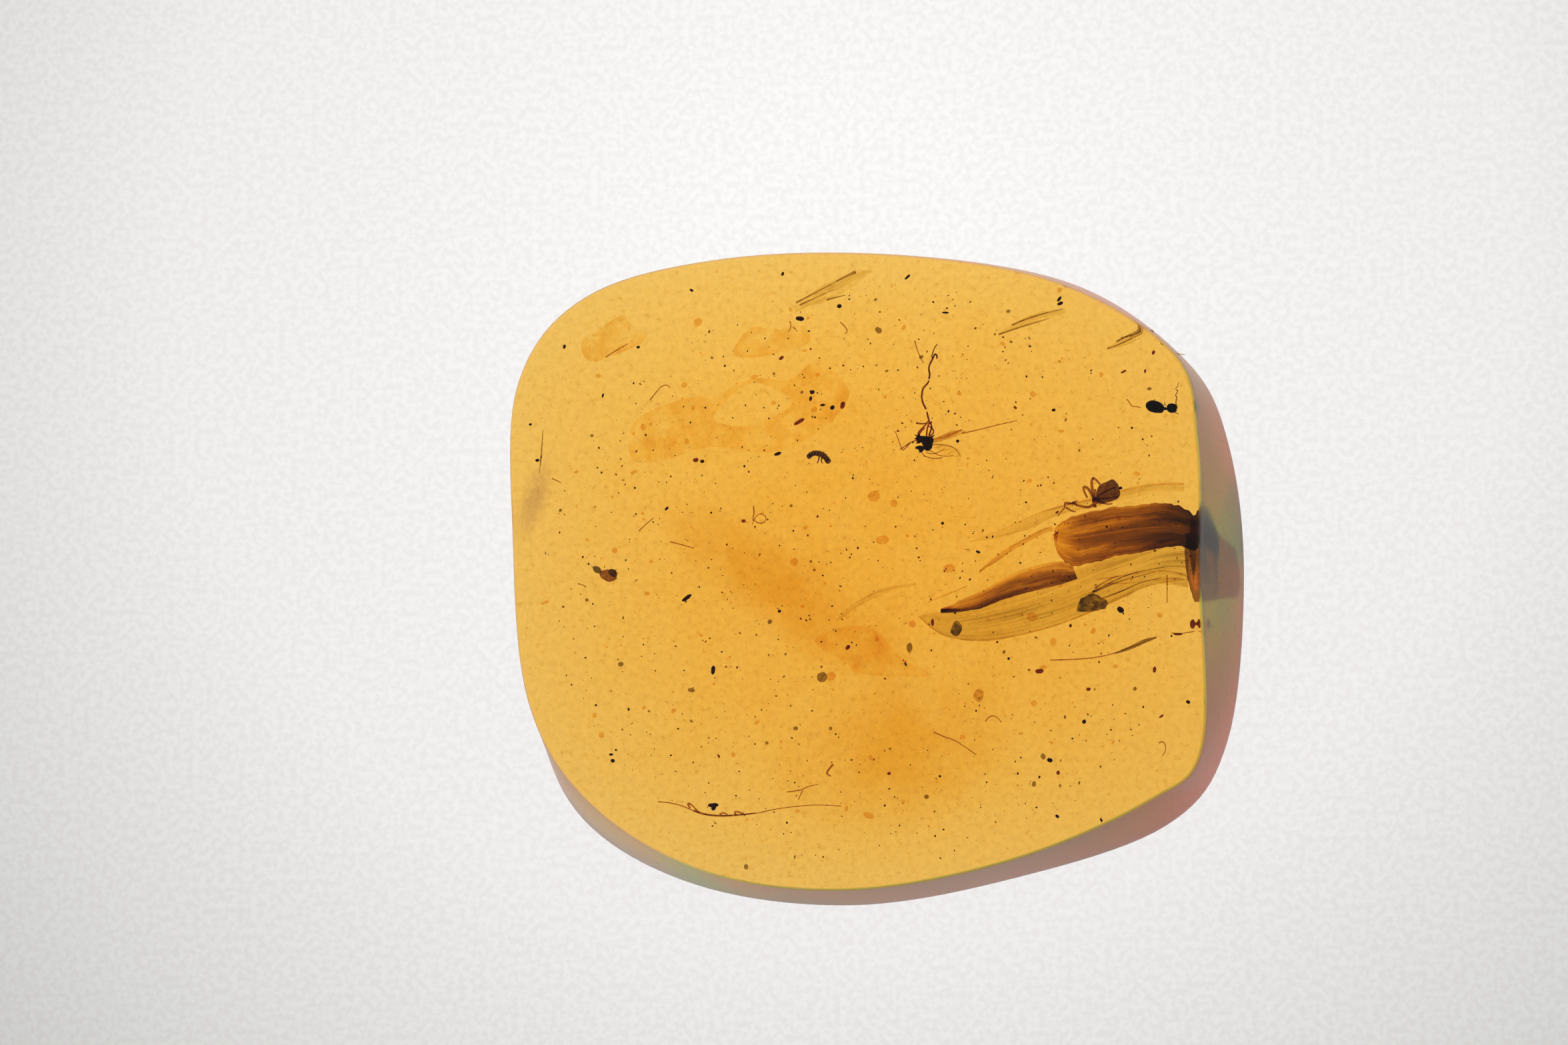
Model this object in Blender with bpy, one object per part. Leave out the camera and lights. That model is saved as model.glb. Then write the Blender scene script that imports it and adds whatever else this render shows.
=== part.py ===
"""A flat polished pebble of amber with a spider, four insects and scraps of bark sealed inside.

Metres, +Z up. The pebble lies on its flat ground base, with the origin at the middle of its footprint and
+X along its longer side. The amber is parted at one level into two halves with a thin gap, and each half
has its share of the pockets, so that whatever is sealed inside stays a body of its own.
"""

import math
import random

import bmesh
import bpy
from mathutils import Matrix, Vector

MM = 0.001

# The pebble's outline at its widest level, counterclockwise from the middle of the right side.
GIRDLE_MM = (
    (16.05, -0.25), (15.4, 5.5), (13.55, 9.2), (8.7, 12.6), (1.5, 14.05), (-6.25, 14.1), (-12.6, 12.6),
    (-15.75, 8.65), (-15.9, 2.0), (-15.35, -5.5), (-13.3, -10.25), (-8.25, -13.2), (-1.35, -14.2), (5.8, -13.15),
    (12.6, -10.95), (15.3, -7.35),
)
# The edge where the wall turns over into the domed top, point for point with the girdle.
RIM_MM = (
    (15.0, -0.6), (14.9, 5.15), (13.85, 9.1), (8.65, 12.35), (1.5, 13.75), (-6.2, 13.8), (-12.4, 12.3),
    (-15.45, 8.55), (-15.65, 2.0), (-14.95, -5.35), (-12.2, -9.85), (-7.1, -12.9), (-0.65, -13.8), (6.5, -12.65),
    (12.65, -10.2), (15.05, -7.85),
)
STEPS_PER_SPAN = 4
GIRDLE_HEIGHT = 1.0 * MM
RIM_HEIGHT = 4.9 * MM
RIM_SLOPE = 0.02  # the rim climbs towards +X by this much per metre
RIM_BOW = 0.002 / MM  # and drops towards either side by this much times y squared
DOME_RISE = 1.2 * MM
DOME_HALF_SIZE = Vector((15.4, 14.0)) * MM  # the oval that the rings over the dome come nearer to
DOME_RINGS = (0.93, 0.82, 0.66, 0.46, 0.24)  # each ring's share of the rim
BASE_ROUND = 0.65 * MM
RIM_ROUND = 0.3 * MM
WALL_CURVE = 1.1  # above 1, the wall stands steepest low down

PARTING_HEIGHT = 3.1 * MM
PARTING_GAP = 0.3 * MM
POCKET_CLEARANCE_MM = 0.3

# Where the middle of each sealed animal lies, in millimetres.
SPIDER_AT = (10.7, 3.25, 3.45)
WASP_AT = (2.75, 5.5, 3.35)
BEETLE_AT = (13.0, 6.85, 3.1)
ROVE_BEETLE_AT = (-1.95, 4.95, 3.3)
BUG_AT = (-11.45, 0.2, 3.1)

# The plant scraps: bark strip, splinter and sliver, as outlines with their levels and thicknesses.
BARK_OUTLINE_MM = (
    (8.65, 0.45), (9.4, 0.2), (11.0, 0.6), (12.4, 0.9), (13.65, 0.6), (14.9, 0.5), (14.95, 1.35), (14.3, 2.15),
    (13.0, 2.65), (11.3, 2.7), (9.8, 2.45), (8.35, 2.0),
)
BARK_LEVEL_MM, BARK_THICK_MM = 2.6, 0.34
SPLINTER_OUTLINE_MM = (
    (3.4, -1.75), (4.9, -1.7), (6.0, -1.3), (7.8, -0.85), (9.4, -0.45), (9.1, 0.0), (8.65, 0.25), (7.6, 0.1),
    (6.5, -0.25), (5.4, -0.85), (4.3, -1.3),
)
SPLINTER_LEVEL_MM, SPLINTER_THICK_MM = 3.5, 0.3
SLIVER_OUTLINE_MM = ((5.3, -0.15), (7.0, 0.8), (8.2, 1.55), (8.15, 1.8), (6.85, 1.1), (5.1, -0.05))
SLIVER_LEVEL_MM, SLIVER_THICK_MM = 3.5, 0.16

# Loose crumbs of bark: name, middle, size and heading in degrees.
CRUMBS = (
    ("bark_crumb_1", (9.9, -1.5, 2.8), (1.5, 0.85, 0.4), 12),
    ("bark_crumb_2", (4.0, -2.45, 2.9), (0.55, 0.75, 0.35), 20),
    ("bark_crumb_3", (4.95, -5.3, 2.9), (0.5, 0.68, 0.35), -15),
)

BARK_BROWN = (0.10, 0.045, 0.012)
DARK_BROWN = (0.055, 0.022, 0.008)
RED_BROWN = (0.11, 0.03, 0.008)
NEAR_BLACK = (0.006, 0.004, 0.003)
OLIVE_BROWN = (0.05, 0.035, 0.012)
AMBER_YELLOW = (0.78, 0.43, 0.07)


def clear_scene():
    for obj in list(bpy.data.objects):
        bpy.data.objects.remove(obj, do_unlink=True)


def new_collection(name):
    made = bpy.data.collections.new(name)
    bpy.context.scene.collection.children.link(made)
    return made


def principled(name, colour, roughness, alpha=1.0):
    made = bpy.data.materials.new(name)
    made.use_nodes = True
    shader = made.node_tree.nodes["Principled BSDF"]
    shader.inputs["Base Color"].default_value = (*colour, 1.0)
    shader.inputs["Roughness"].default_value = roughness
    shader.inputs["Metallic"].default_value = 0.0
    shader.inputs["Alpha"].default_value = alpha
    return made


# The outlines


def smooth_closed(points, steps):
    """A Catmull-Rom line closed through the points, with this many steps from one to the next."""
    points = [Vector(p) for p in points]
    count = len(points)
    line = []
    for i in range(count):
        before, start, end, after = (points[(i + k) % count] for k in (-1, 0, 1, 2))
        for step in range(steps):
            t = step / steps
            bend = (end - before) * t + (2 * before - 5 * start + 4 * end - after) * t**2
            line.append(start + 0.5 * (bend + (3 * start - before - 3 * end + after) * t**3))
    return line


def inset(line, distance):
    """The closed counterclockwise line moved inwards by this distance, or outwards where it is negative."""
    count = len(line)
    moved = []
    for i, point in enumerate(line):
        along = (line[(i + 1) % count] - line[i - 1]).normalized()
        moved.append(point + Vector((-along.y, along.x)) * distance)
    return moved


# The amber


def at_height(line, height):
    return [Vector((p.x, p.y, height)) for p in line]


def at_rim(line, drop=0.0):
    """The line at the rim's own sloping and bowed height, less the drop."""
    return [Vector((p.x, p.y, RIM_HEIGHT + RIM_SLOPE * p.x - RIM_BOW * p.y**2 - drop)) for p in line]


def base_rings(girdle, steps=4):
    for step in range(steps):
        turn = step / steps * math.pi / 2
        ring = inset(girdle, BASE_ROUND * (1 - math.sin(turn)))
        yield at_height(ring, GIRDLE_HEIGHT * (1 - math.cos(turn)))


def wall_rings(girdle, rim, steps=4):
    for step in range(steps + 1):
        up = step / steps
        ring = []
        for low, high in zip(at_height(girdle, GIRDLE_HEIGHT), at_rim(rim, RIM_ROUND)):
            point = low.lerp(high, up**WALL_CURVE)
            point.z = low.z + (high.z - low.z) * up
            ring.append(point)
        yield ring


def towards_oval(point, keep):
    """The point of the rim's edge moved onto the dome's oval, apart from this share of its own place."""
    on_oval = point / math.hypot(point.x / DOME_HALF_SIZE.x, point.y / DOME_HALF_SIZE.y)
    return on_oval.lerp(point, keep)


def top_rings(rim):
    for turn in (math.radians(35), math.radians(70)):
        yield at_rim(inset(rim, RIM_ROUND * (1 - math.cos(turn))), RIM_ROUND * (1 - math.sin(turn)))
    edge = inset(rim, RIM_ROUND)
    for share in DOME_RINGS:
        ring = at_rim([towards_oval(p, share**2) * share for p in edge])
        for point in ring:
            point.z += DOME_RISE * (1 - share**2)
        yield ring


def lofted(name, rings, peak):
    """A closed mesh over the rings, with a flat face under the first and a fan from the last up to the peak."""
    mesh = bpy.data.meshes.new(name)
    build = bmesh.new()
    rows = [[build.verts.new(p) for p in ring] for ring in rings]
    tip = build.verts.new(peak)
    count = len(rows[0])
    for low, high in zip(rows, rows[1:]):
        for i in range(count):
            j = (i + 1) % count
            build.faces.new((low[i], low[j], high[j], high[i]))
    for i in range(count):
        build.faces.new((rows[-1][i], rows[-1][(i + 1) % count], tip))
    build.faces.new(tuple(reversed(rows[0])))
    bmesh.ops.recalc_face_normals(build, faces=build.faces)
    build.to_mesh(mesh)
    build.free()
    return mesh


def half_of(mesh, name, upper):
    """The part of the closed mesh above or below the parting gap, closed again by a flat face."""
    half = mesh.copy()
    half.name = name
    height = PARTING_HEIGHT + (PARTING_GAP / 2 if upper else -PARTING_GAP / 2)
    build = bmesh.new()
    build.from_mesh(half)
    cut = bmesh.ops.bisect_plane(
        build, geom=build.verts[:] + build.edges[:] + build.faces[:], dist=0.001 * MM,
        plane_co=(0, 0, height), plane_no=(0, 0, 1), clear_inner=upper, clear_outer=not upper,
    )
    edges = [e for e in cut["geom_cut"] if isinstance(e, bmesh.types.BMEdge)]
    bmesh.ops.contextual_create(build, geom=edges)
    bmesh.ops.recalc_face_normals(build, faces=build.faces)
    build.to_mesh(half)
    build.free()
    return half


def add_amber(parts, pockets):
    girdle = smooth_closed([Vector(p) * MM for p in GIRDLE_MM], STEPS_PER_SPAN)
    rim = smooth_closed([Vector(p) * MM for p in RIM_MM], STEPS_PER_SPAN)
    rings = [*base_rings(girdle), *wall_rings(girdle, rim), *top_rings(rim)]
    whole = lofted("pebble", rings, Vector((0, 0, RIM_HEIGHT + DOME_RISE)))
    amber = principled("amber", AMBER_YELLOW, 0.06, alpha=0.45)
    for name, upper in (("amber_lower", False), ("amber_upper", True)):
        half = bpy.data.objects.new(name, half_of(whole, name, upper))
        half.data.materials.append(amber)
        parts.objects.link(half)
        cut = half.modifiers.new("pockets", "BOOLEAN")
        cut.operation = "DIFFERENCE"
        cut.operand_type = "COLLECTION"
        cut.collection = pockets
        cut.solver = "EXACT"
        cut.use_self = True
    bpy.data.meshes.remove(whole)


# What the sealed things are made from


def from_bmesh(name, fill):
    """A new object holding what the function puts into a bmesh."""
    mesh = bpy.data.meshes.new(name)
    build = bmesh.new()
    fill(build)
    build.to_mesh(mesh)
    build.free()
    return bpy.data.objects.new(name, mesh)


def egg(middle, size, heading=0.0, segments=10, rings=7):
    """A round body of this length, width and height, with its heading about Z in degrees."""
    where = (
        Matrix.Translation(Vector(middle))
        @ Matrix.Rotation(math.radians(heading), 4, "Z")
        @ Matrix.Rotation(math.radians(90), 4, "Y")
        @ Matrix.Diagonal((size[2] / 2, size[1] / 2, size[0] / 2, 1))
    )
    return from_bmesh("egg", lambda build: bmesh.ops.create_uvsphere(
        build, u_segments=segments, v_segments=rings, radius=1.0, matrix=where))


def limb(joints, thick, thin, sides=4):
    """Tapering rods from joint to joint, each reaching a little past its joints so that they overlap."""
    joints = [Vector(j) for j in joints]
    count = len(joints) - 1
    rods = []
    for i in range(count):
        wide = thick + (thin - thick) * i / count
        narrow = thick + (thin - thick) * (i + 1) / count
        along = (joints[i + 1] - joints[i]).normalized()
        start = joints[i] - along * wide * 0.6
        end = joints[i + 1] + along * narrow * 0.6
        where = Matrix.Translation((start + end) / 2) @ along.to_track_quat("Z", "X").to_matrix().to_4x4()
        rods.append(from_bmesh("rod", lambda build: bmesh.ops.create_cone(
            build, cap_ends=True, segments=sides, radius1=wide, radius2=narrow,
            depth=(end - start).length, matrix=where)))
    return rods


def fused(name, pieces, finish, at_mm, parts):
    """The pieces, modelled in millimetres about their own middle, joined by a Boolean union into one solid."""
    workshop = new_collection(name + "_pieces")
    others = new_collection(name + "_others")
    workshop.objects.link(pieces[0])
    for piece in pieces[1:]:
        others.objects.link(piece)
    union = pieces[0].modifiers.new("union", "BOOLEAN")
    union.operation = "UNION"
    union.operand_type = "COLLECTION"
    union.collection = others
    union.solver = "EXACT"
    union.use_self = True
    bpy.context.view_layer.update()
    joined = pieces[0].evaluated_get(bpy.context.evaluated_depsgraph_get())
    mesh = bpy.data.meshes.new_from_object(joined)
    for piece in pieces:
        bpy.data.objects.remove(piece, do_unlink=True)
    bpy.data.collections.remove(workshop)
    bpy.data.collections.remove(others)
    mesh.transform(Matrix.Scale(MM, 4))
    mesh.name = name
    mesh.materials.clear()
    mesh.materials.append(finish)
    obj = bpy.data.objects.new(name, mesh)
    obj.location = Vector(at_mm) * MM
    parts.objects.link(obj)


def meshed(curve, line, cyclic, collection):
    """An object with the mesh of the curve along this line, its caps welded on."""
    spline = curve.splines.new("POLY")
    spline.points.add(len(line) - 1)
    for point, place in zip(spline.points, line):
        point.co = (*(place * MM), 1)
    spline.use_cyclic_u = cyclic
    drawn = bpy.data.objects.new(curve.name, curve)
    bpy.context.scene.collection.objects.link(drawn)
    bpy.context.view_layer.update()
    mesh = bpy.data.meshes.new_from_object(drawn.evaluated_get(bpy.context.evaluated_depsgraph_get()))
    bpy.data.objects.remove(drawn, do_unlink=True)
    build = bmesh.new()
    build.from_mesh(mesh)
    bmesh.ops.remove_doubles(build, verts=build.verts, dist=0.001 * MM)
    bmesh.ops.recalc_face_normals(build, faces=build.faces)
    build.to_mesh(mesh)
    build.free()
    obj = bpy.data.objects.new(curve.name, mesh)
    collection.objects.link(obj)
    return obj


def plate(name, outline_mm, level_mm, thick_mm, collection, grow_mm=0.0):
    """A flat scrap of this outline, as a filled 2D curve. grow_mm widens it on every side."""
    curve = bpy.data.curves.new(name, "CURVE")
    curve.dimensions = "2D"
    curve.fill_mode = "BOTH"
    curve.extrude = (thick_mm / 2 + grow_mm) * MM
    line = [p.to_3d() for p in inset(smooth_closed(outline_mm, 3), -grow_mm)]
    obj = meshed(curve, line, True, collection)
    obj.location.z = level_mm * MM
    return obj


def strand(name, line, radius_mm, collection):
    """A bent thread of one thickness, as a bevelled curve."""
    curve = bpy.data.curves.new(name, "CURVE")
    curve.dimensions = "3D"
    curve.bevel_depth = radius_mm * MM
    curve.bevel_resolution = 1
    curve.use_fill_caps = True
    return meshed(curve, [Vector(p) for p in line], False, collection)


def make_cutter(obj):
    obj.hide_render = True
    obj.display_type = "WIRE"


def pocket(pockets, middle_mm, size_mm, heading=0.0):
    """An upright oval hollow of this length, width and height, open at the parting gap."""
    where = (
        Matrix.Translation(Vector(middle_mm) * MM)
        @ Matrix.Rotation(math.radians(heading), 4, "Z")
        @ Matrix.Diagonal((size_mm[0] / 2 * MM, size_mm[1] / 2 * MM, size_mm[2] * MM, 1))
    )
    hollow = from_bmesh("pocket", lambda build: bmesh.ops.create_cone(
        build, cap_ends=True, segments=20, radius1=1.0, radius2=1.0, depth=1.0, matrix=where))
    pockets.objects.link(hollow)
    make_cutter(hollow)


# The sealed things, each from its own middle in millimetres


def add_spider(parts, pockets):
    """Lying on its side: abdomen to the upper right, two legs with their knees up, two stretched forwards."""
    pieces = [
        egg((0, 0, 0), (1.08, 0.96, 0.8), heading=35, segments=14, rings=10),
        egg((-0.6, -0.42, -0.08), (0.46, 0.36, 0.32), heading=35),
        egg((0.47, 0.14, 0), (0.16, 0.12, 0.12), heading=17, segments=6, rings=5),
        *limb([(-0.58, -0.36, 0), (-0.65, 0, 0.1), (-0.69, 0.44, 0.15), (-0.58, 0.56, 0.15), (-0.36, 0.33, 0.1)],
              0.06, 0.035),
        *limb([(-0.68, -0.38, 0), (-0.77, -0.02, 0.12), (-0.98, 0.18, 0.18), (-1.08, 0.12, 0.18),
               (-0.9, -0.27, 0.1)], 0.055, 0.03),
        *limb([(-0.68, -0.52, -0.05), (-0.96, -0.66, 0), (-1.24, -0.59, 0.05), (-1.58, -0.49, 0.05),
               (-1.92, -0.42, 0), (-1.86, -0.65, 0), (-2.06, -0.81, 0), (-2.21, -1.01, 0)], 0.055, 0.025),
        *limb([(-0.72, -0.48, -0.1), (-1.04, -0.42, -0.12), (-1.35, -0.36, -0.1), (-1.74, -0.52, -0.1),
               (-1.84, -0.68, -0.1), (-1.71, -0.78, -0.1), (-1.49, -0.82, -0.12)], 0.05, 0.025),
    ]
    for side in (-1, 1):
        root = Vector((-0.56 + 0.06 * side, -0.4 - 0.05 * side, -0.2))
        knee = root + Vector((0.28, 0.12 * side, -0.22))
        foot = root + Vector((0.62, 0.34 + 0.1 * side, -0.16))
        pieces += limb([root, knee, foot], 0.05, 0.03)
        knee = root + Vector((0.1, -0.16 * side, -0.24))
        foot = root + Vector((0.5, 0.05 * side, -0.26))
        pieces += limb([root, knee, foot], 0.045, 0.03)
    fused("spider", pieces, principled("spider_brown", DARK_BROWN, 0.45), SPIDER_AT, parts)
    x, y, z = SPIDER_AT
    pocket(pockets, (x - 0.85, y - 0.2, z - 0.05), (4.5, 3.0, 1.7), heading=25)


def add_wasp(parts, pockets):
    """A tiny wasp with its legs drawn up, two thin wings and its feelers swept back."""
    pieces = [
        egg((0.06, 0.02, 0), (0.62, 0.36, 0.42), heading=80, segments=14),
        egg((-0.23, 0.17, 0), (0.4, 0.28, 0.3), heading=20),
        egg((-0.2, -0.22, 0), (0.34, 0.28, 0.3), heading=30),
        *limb([(0.08, 0.2, 0.05), (0.12, 0.5, 0.1), (0.06, 0.76, 0.1)], 0.05, 0.04),
        *limb([(-0.2, 0.2, 0.05), (-0.45, 0.3, 0.1), (-0.12, 0.6, 0.12), (0.06, 0.7, 0.1)], 0.03, 0.025),
        *limb([(-0.3, 0.1, 0), (-0.6, -0.02, 0.05), (-0.92, -0.4, 0.05), (-1.26, 0.56, 0.05)], 0.025, 0.015),
        *limb([(-0.58, -0.01, 0.04), (-1.1, -0.34, 0)], 0.022, 0.016),
        *limb([(-0.2, -0.3, 0), (-0.06, -0.6, 0), (0.25, -0.68, 0), (0.66, -0.6, 0)], 0.022, 0.014),
        *limb([(0.1, -0.25, 0), (0.55, -0.53, -0.05), (0.93, -0.61, -0.05), (1.28, -0.54, -0.05)], 0.022, 0.014),
        egg((0.74, -0.17, -0.08), (1.4, 0.42, 0.06), heading=-14),
        egg((0.62, 0.16, -0.1), (1.3, 0.16, 0.06), heading=16),
    ]
    fused("wasp", pieces, principled("wasp_black", NEAR_BLACK, 0.4), WASP_AT, parts)
    x, y, z = WASP_AT
    pocket(pockets, (x + 0.1, y, z), (3.9, 2.4, 1.1))


def add_thread(parts, pockets):
    """The bent thread that runs up from the wasp's legs."""
    line = [(0.07, 1.1, 0.1), (0.0, 1.5, 0.1), (-0.27, 1.9, 0.12), (-0.22, 2.3, 0.12), (0.03, 2.7, 0.1),
            (0.05, 3.2, 0.1), (0.22, 3.75, 0.08), (0.32, 3.95, 0.08)]
    thread = strand("thread", line, 0.035, parts)
    thread.data.materials.append(principled("thread_brown", RED_BROWN, 0.5))
    x, y, z = WASP_AT
    thread.location = Vector(WASP_AT) * MM
    pocket(pockets, (x + 0.02, y + 2.5, z + 0.1), (1.5, 3.9, 1.0))


def add_beetle(parts, pockets):
    """Ant-like: a big egg of an abdomen, a narrow waist, a short thorax with the head, one feeler raised."""
    pieces = [
        egg((-0.32, 0.03, 0), (0.78, 0.54, 0.5), heading=-14, segments=14, rings=10),
        egg((0.07, -0.04, 0), (0.3, 0.16, 0.16), heading=-8),
        egg((0.26, -0.04, 0), (0.38, 0.36, 0.34), heading=0, segments=14),
        egg((0.42, -0.02, 0.02), (0.26, 0.26, 0.26), heading=5),
        *limb([(0.48, 0.05, 0.05), (0.62, 0.2, 0.08), (0.65, 0.5, 0.1), (0.76, 0.85, 0.1), (0.72, 1.0, 0.1)],
              0.028, 0.02),
        *limb([(0.44, -0.12, -0.05), (0.62, -0.26, -0.08), (0.72, -0.26, -0.08)], 0.025, 0.015),
        *limb([(-0.38, 0.24, 0), (-0.34, 0.37, 0), (-0.28, 0.44, 0)], 0.022, 0.014),
        *limb([(0.12, 0.05, 0), (0.1, 0.26, 0)], 0.022, 0.016),
    ]
    fused("beetle", pieces, principled("beetle_black", NEAR_BLACK, 0.25), BEETLE_AT, parts)
    x, y, z = BEETLE_AT
    pocket(pockets, (x + 0.05, y + 0.2, z), (2.4, 2.4, 1.1))


def add_rove_beetle(parts, pockets):
    """Small and arched, its segments tapering from a round head end along a bow to the tail."""
    segment_count = 7
    bow_radius = 0.5
    pieces = []
    for i in range(segment_count):
        angle = math.radians(175 - 150 * i / (segment_count - 1))
        middle = (bow_radius * 1.12 * math.cos(angle), bow_radius * 0.62 * math.sin(angle) - 0.16, 0)
        width = 0.3 - 0.018 * i
        pieces.append(egg(middle, (0.26, width, width), heading=math.degrees(angle) + 90, segments=9, rings=6))
    pieces += limb([(0.02, 0.05, 0), (0.04, -0.16, 0), (0.0, -0.36, 0)], 0.03, 0.018)
    pieces += limb([(0.12, 0.05, 0), (0.13, -0.16, 0), (0.1, -0.38, 0)], 0.03, 0.018)
    fused("rove_beetle", pieces, principled("rove_beetle_olive", OLIVE_BROWN, 0.45), ROVE_BEETLE_AT, parts)
    x, y, z = ROVE_BEETLE_AT
    pocket(pockets, (x, y - 0.05, z), (2.1, 1.6, 1.0))


def add_bug(parts, pockets):
    """A crumpled, wide body with a small darker head at its upper left."""
    pieces = [
        egg((0.1, -0.05, 0), (0.86, 0.56, 0.4), heading=-15, segments=14),
        egg((-0.42, 0.16, 0), (0.34, 0.3, 0.28), heading=20),
        egg((0.38, -0.16, 0.02), (0.34, 0.3, 0.26), heading=-40),
        egg((-0.12, 0.12, 0.05), (0.4, 0.3, 0.3), heading=10),
    ]
    fused("bug", pieces, principled("bug_red_brown", RED_BROWN, 0.5), BUG_AT, parts)
    x, y, z = BUG_AT
    pocket(pockets, (x, y, z), (2.0, 1.4, 1.1))


def add_scraps(parts, pockets):
    bark = principled("bark_brown", BARK_BROWN, 0.6)
    for name, outline, level, thick in (
        ("bark_strip", BARK_OUTLINE_MM, BARK_LEVEL_MM, BARK_THICK_MM),
        ("bark_splinter", SPLINTER_OUTLINE_MM, SPLINTER_LEVEL_MM, SPLINTER_THICK_MM),
        ("bark_sliver", SLIVER_OUTLINE_MM, SLIVER_LEVEL_MM, SLIVER_THICK_MM),
    ):
        scrap = plate(name, outline, level, thick, parts)
        scrap.data.materials.append(bark)
        hollow = plate(name + "_pocket", outline, level, thick, pockets, grow_mm=POCKET_CLEARANCE_MM)
        make_cutter(hollow)


def add_crumbs(parts, pockets):
    """Angular crumbs of bark: coarse balls with their corners pushed in by chance and squeezed to size."""
    bark = principled("crumb_brown", DARK_BROWN, 0.7)
    chance = random.Random(7)
    for name, middle, size, heading in CRUMBS:
        crumb = from_bmesh(name, lambda build: bmesh.ops.create_icosphere(build, subdivisions=2, radius=0.5))
        for vert in crumb.data.vertices:
            vert.co *= chance.uniform(0.76, 1.0)
        squeeze = Matrix.Diagonal((*(s * MM for s in size), 1))
        crumb.data.transform(Matrix.Rotation(math.radians(heading), 4, "Z") @ squeeze)
        crumb.data.materials.append(bark)
        crumb.location = Vector(middle) * MM
        parts.objects.link(crumb)
        roomy = [s + 2 * POCKET_CLEARANCE_MM for s in size]
        pocket(pockets, middle, roomy, heading)


def main():
    clear_scene()
    parts = new_collection("spider_in_amber")
    pockets = new_collection("pockets")
    add_spider(parts, pockets)
    add_wasp(parts, pockets)
    add_thread(parts, pockets)
    add_beetle(parts, pockets)
    add_rove_beetle(parts, pockets)
    add_bug(parts, pockets)
    add_scraps(parts, pockets)
    add_crumbs(parts, pockets)
    add_amber(parts, pockets)


main()
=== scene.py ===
"""The looks of the spider in amber: one clear pebble around its sealed animals, bark, films and specks.

All places are in millimetres in the pebble's own frame and are turned to metres where a mesh is made.
"""

import math
import random

import bmesh
import bpy
from mathutils import Matrix, Vector, noise

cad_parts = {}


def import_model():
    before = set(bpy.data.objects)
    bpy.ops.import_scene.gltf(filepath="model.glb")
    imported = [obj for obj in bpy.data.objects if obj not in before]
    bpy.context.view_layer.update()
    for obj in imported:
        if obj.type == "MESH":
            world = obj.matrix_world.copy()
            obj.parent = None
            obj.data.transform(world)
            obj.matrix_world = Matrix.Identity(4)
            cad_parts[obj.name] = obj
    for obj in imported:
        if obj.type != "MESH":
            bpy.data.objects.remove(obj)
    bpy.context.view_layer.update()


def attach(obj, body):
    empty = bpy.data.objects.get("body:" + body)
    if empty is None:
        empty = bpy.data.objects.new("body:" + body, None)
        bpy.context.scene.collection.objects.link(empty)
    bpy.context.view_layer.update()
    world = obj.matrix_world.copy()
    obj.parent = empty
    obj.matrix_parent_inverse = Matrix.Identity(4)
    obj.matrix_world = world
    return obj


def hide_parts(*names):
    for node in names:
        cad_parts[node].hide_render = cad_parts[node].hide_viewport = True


MM = 0.001

# The pebble's outline at its widest level and at its upper rim, counterclockwise from its right.
GIRDLE_MM = (
    (16.05, -0.25), (15.4, 5.5), (13.55, 9.2), (8.7, 12.6), (1.5, 14.05), (-6.25, 14.1), (-12.6, 12.6),
    (-15.75, 8.65), (-15.9, 2.0), (-15.35, -5.5), (-13.3, -10.25), (-8.25, -13.2), (-1.35, -14.2),
    (5.8, -13.15), (12.6, -10.95), (15.3, -7.35),
)
RIM_MM = (
    (15.0, -0.6), (14.9, 5.15), (13.85, 9.1), (8.65, 12.35), (1.5, 13.75), (-6.2, 13.8), (-12.4, 12.3),
    (-15.45, 8.55), (-15.65, 2.0), (-14.95, -5.35), (-12.2, -9.85), (-7.1, -12.9), (-0.65, -13.8),
    (6.5, -12.65), (12.65, -10.2), (15.05, -7.85),
)
GIRDLE_HEIGHT = 1.0
RIM_HEIGHT = 4.9
RIM_SLOPE = 0.02
RIM_BOW = 0.002
DOME_RISE = 1.2
DOME_HALF_SIZE = Vector((15.4, 14.0))
BASE_ROUND = 0.65
RIM_ROUND = 0.3
WALL_CURVE = 1.1

# Left of this place the base's edge is turned over more and more tightly, up to this share of its rounding.
TIGHT_FROM = -6.0
TIGHT_OVER = 6.0
TIGHT_SHARE = 0.75

# How many rings make up each part of the pebble's surface.
BASE_RINGS = 8
WALL_RINGS = 12
RIM_RINGS = 5
DOME_RINGS = 26

# Where the sealed animals lie, and the levels of the things sealed with them.
SPIDER_AT = Vector((10.7, 3.25, 3.45))
WASP_AT = Vector((2.75, 5.5, 3.35))
BEETLE_AT = Vector((13.0, 6.85, 3.1))
ROVE_BEETLE_AT = Vector((-1.95, 4.95, 3.3))
BUG_AT = Vector((-11.45, 0.2, 3.1))
BARK_LEVEL = 2.6
SPLINTER_LEVEL = 3.5
FILM_LEVEL = 2.1
FILM_THICK = 0.02

# Grains of dust are scattered over this half length and half width, between these levels.
DUST_HALF_SIZE = (15.0, 13.2)
DUST_LEVELS = (1.2, 4.1)

# The camera looks down from a little to the right of and below the pebble.
CAMERA_TILT = math.radians(14)
CAMERA_HEADING = math.radians(-22)
CAMERA_LENS = 350
FRAME_WIDTH_MM = 68.2
FRAME_MIDDLE_MM = (-4.31, 2.53, 1.0)
SENSOR_WIDTH = 36

# How coarse the patterns of the materials are.
CLOUDS_PER_MM = 0.3
DUST_GRAIN_MM = 0.25
DIMPLES_PER_MM = 12
TABLE_GRAINS_PER_MM = 3.4


# Materials


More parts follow.
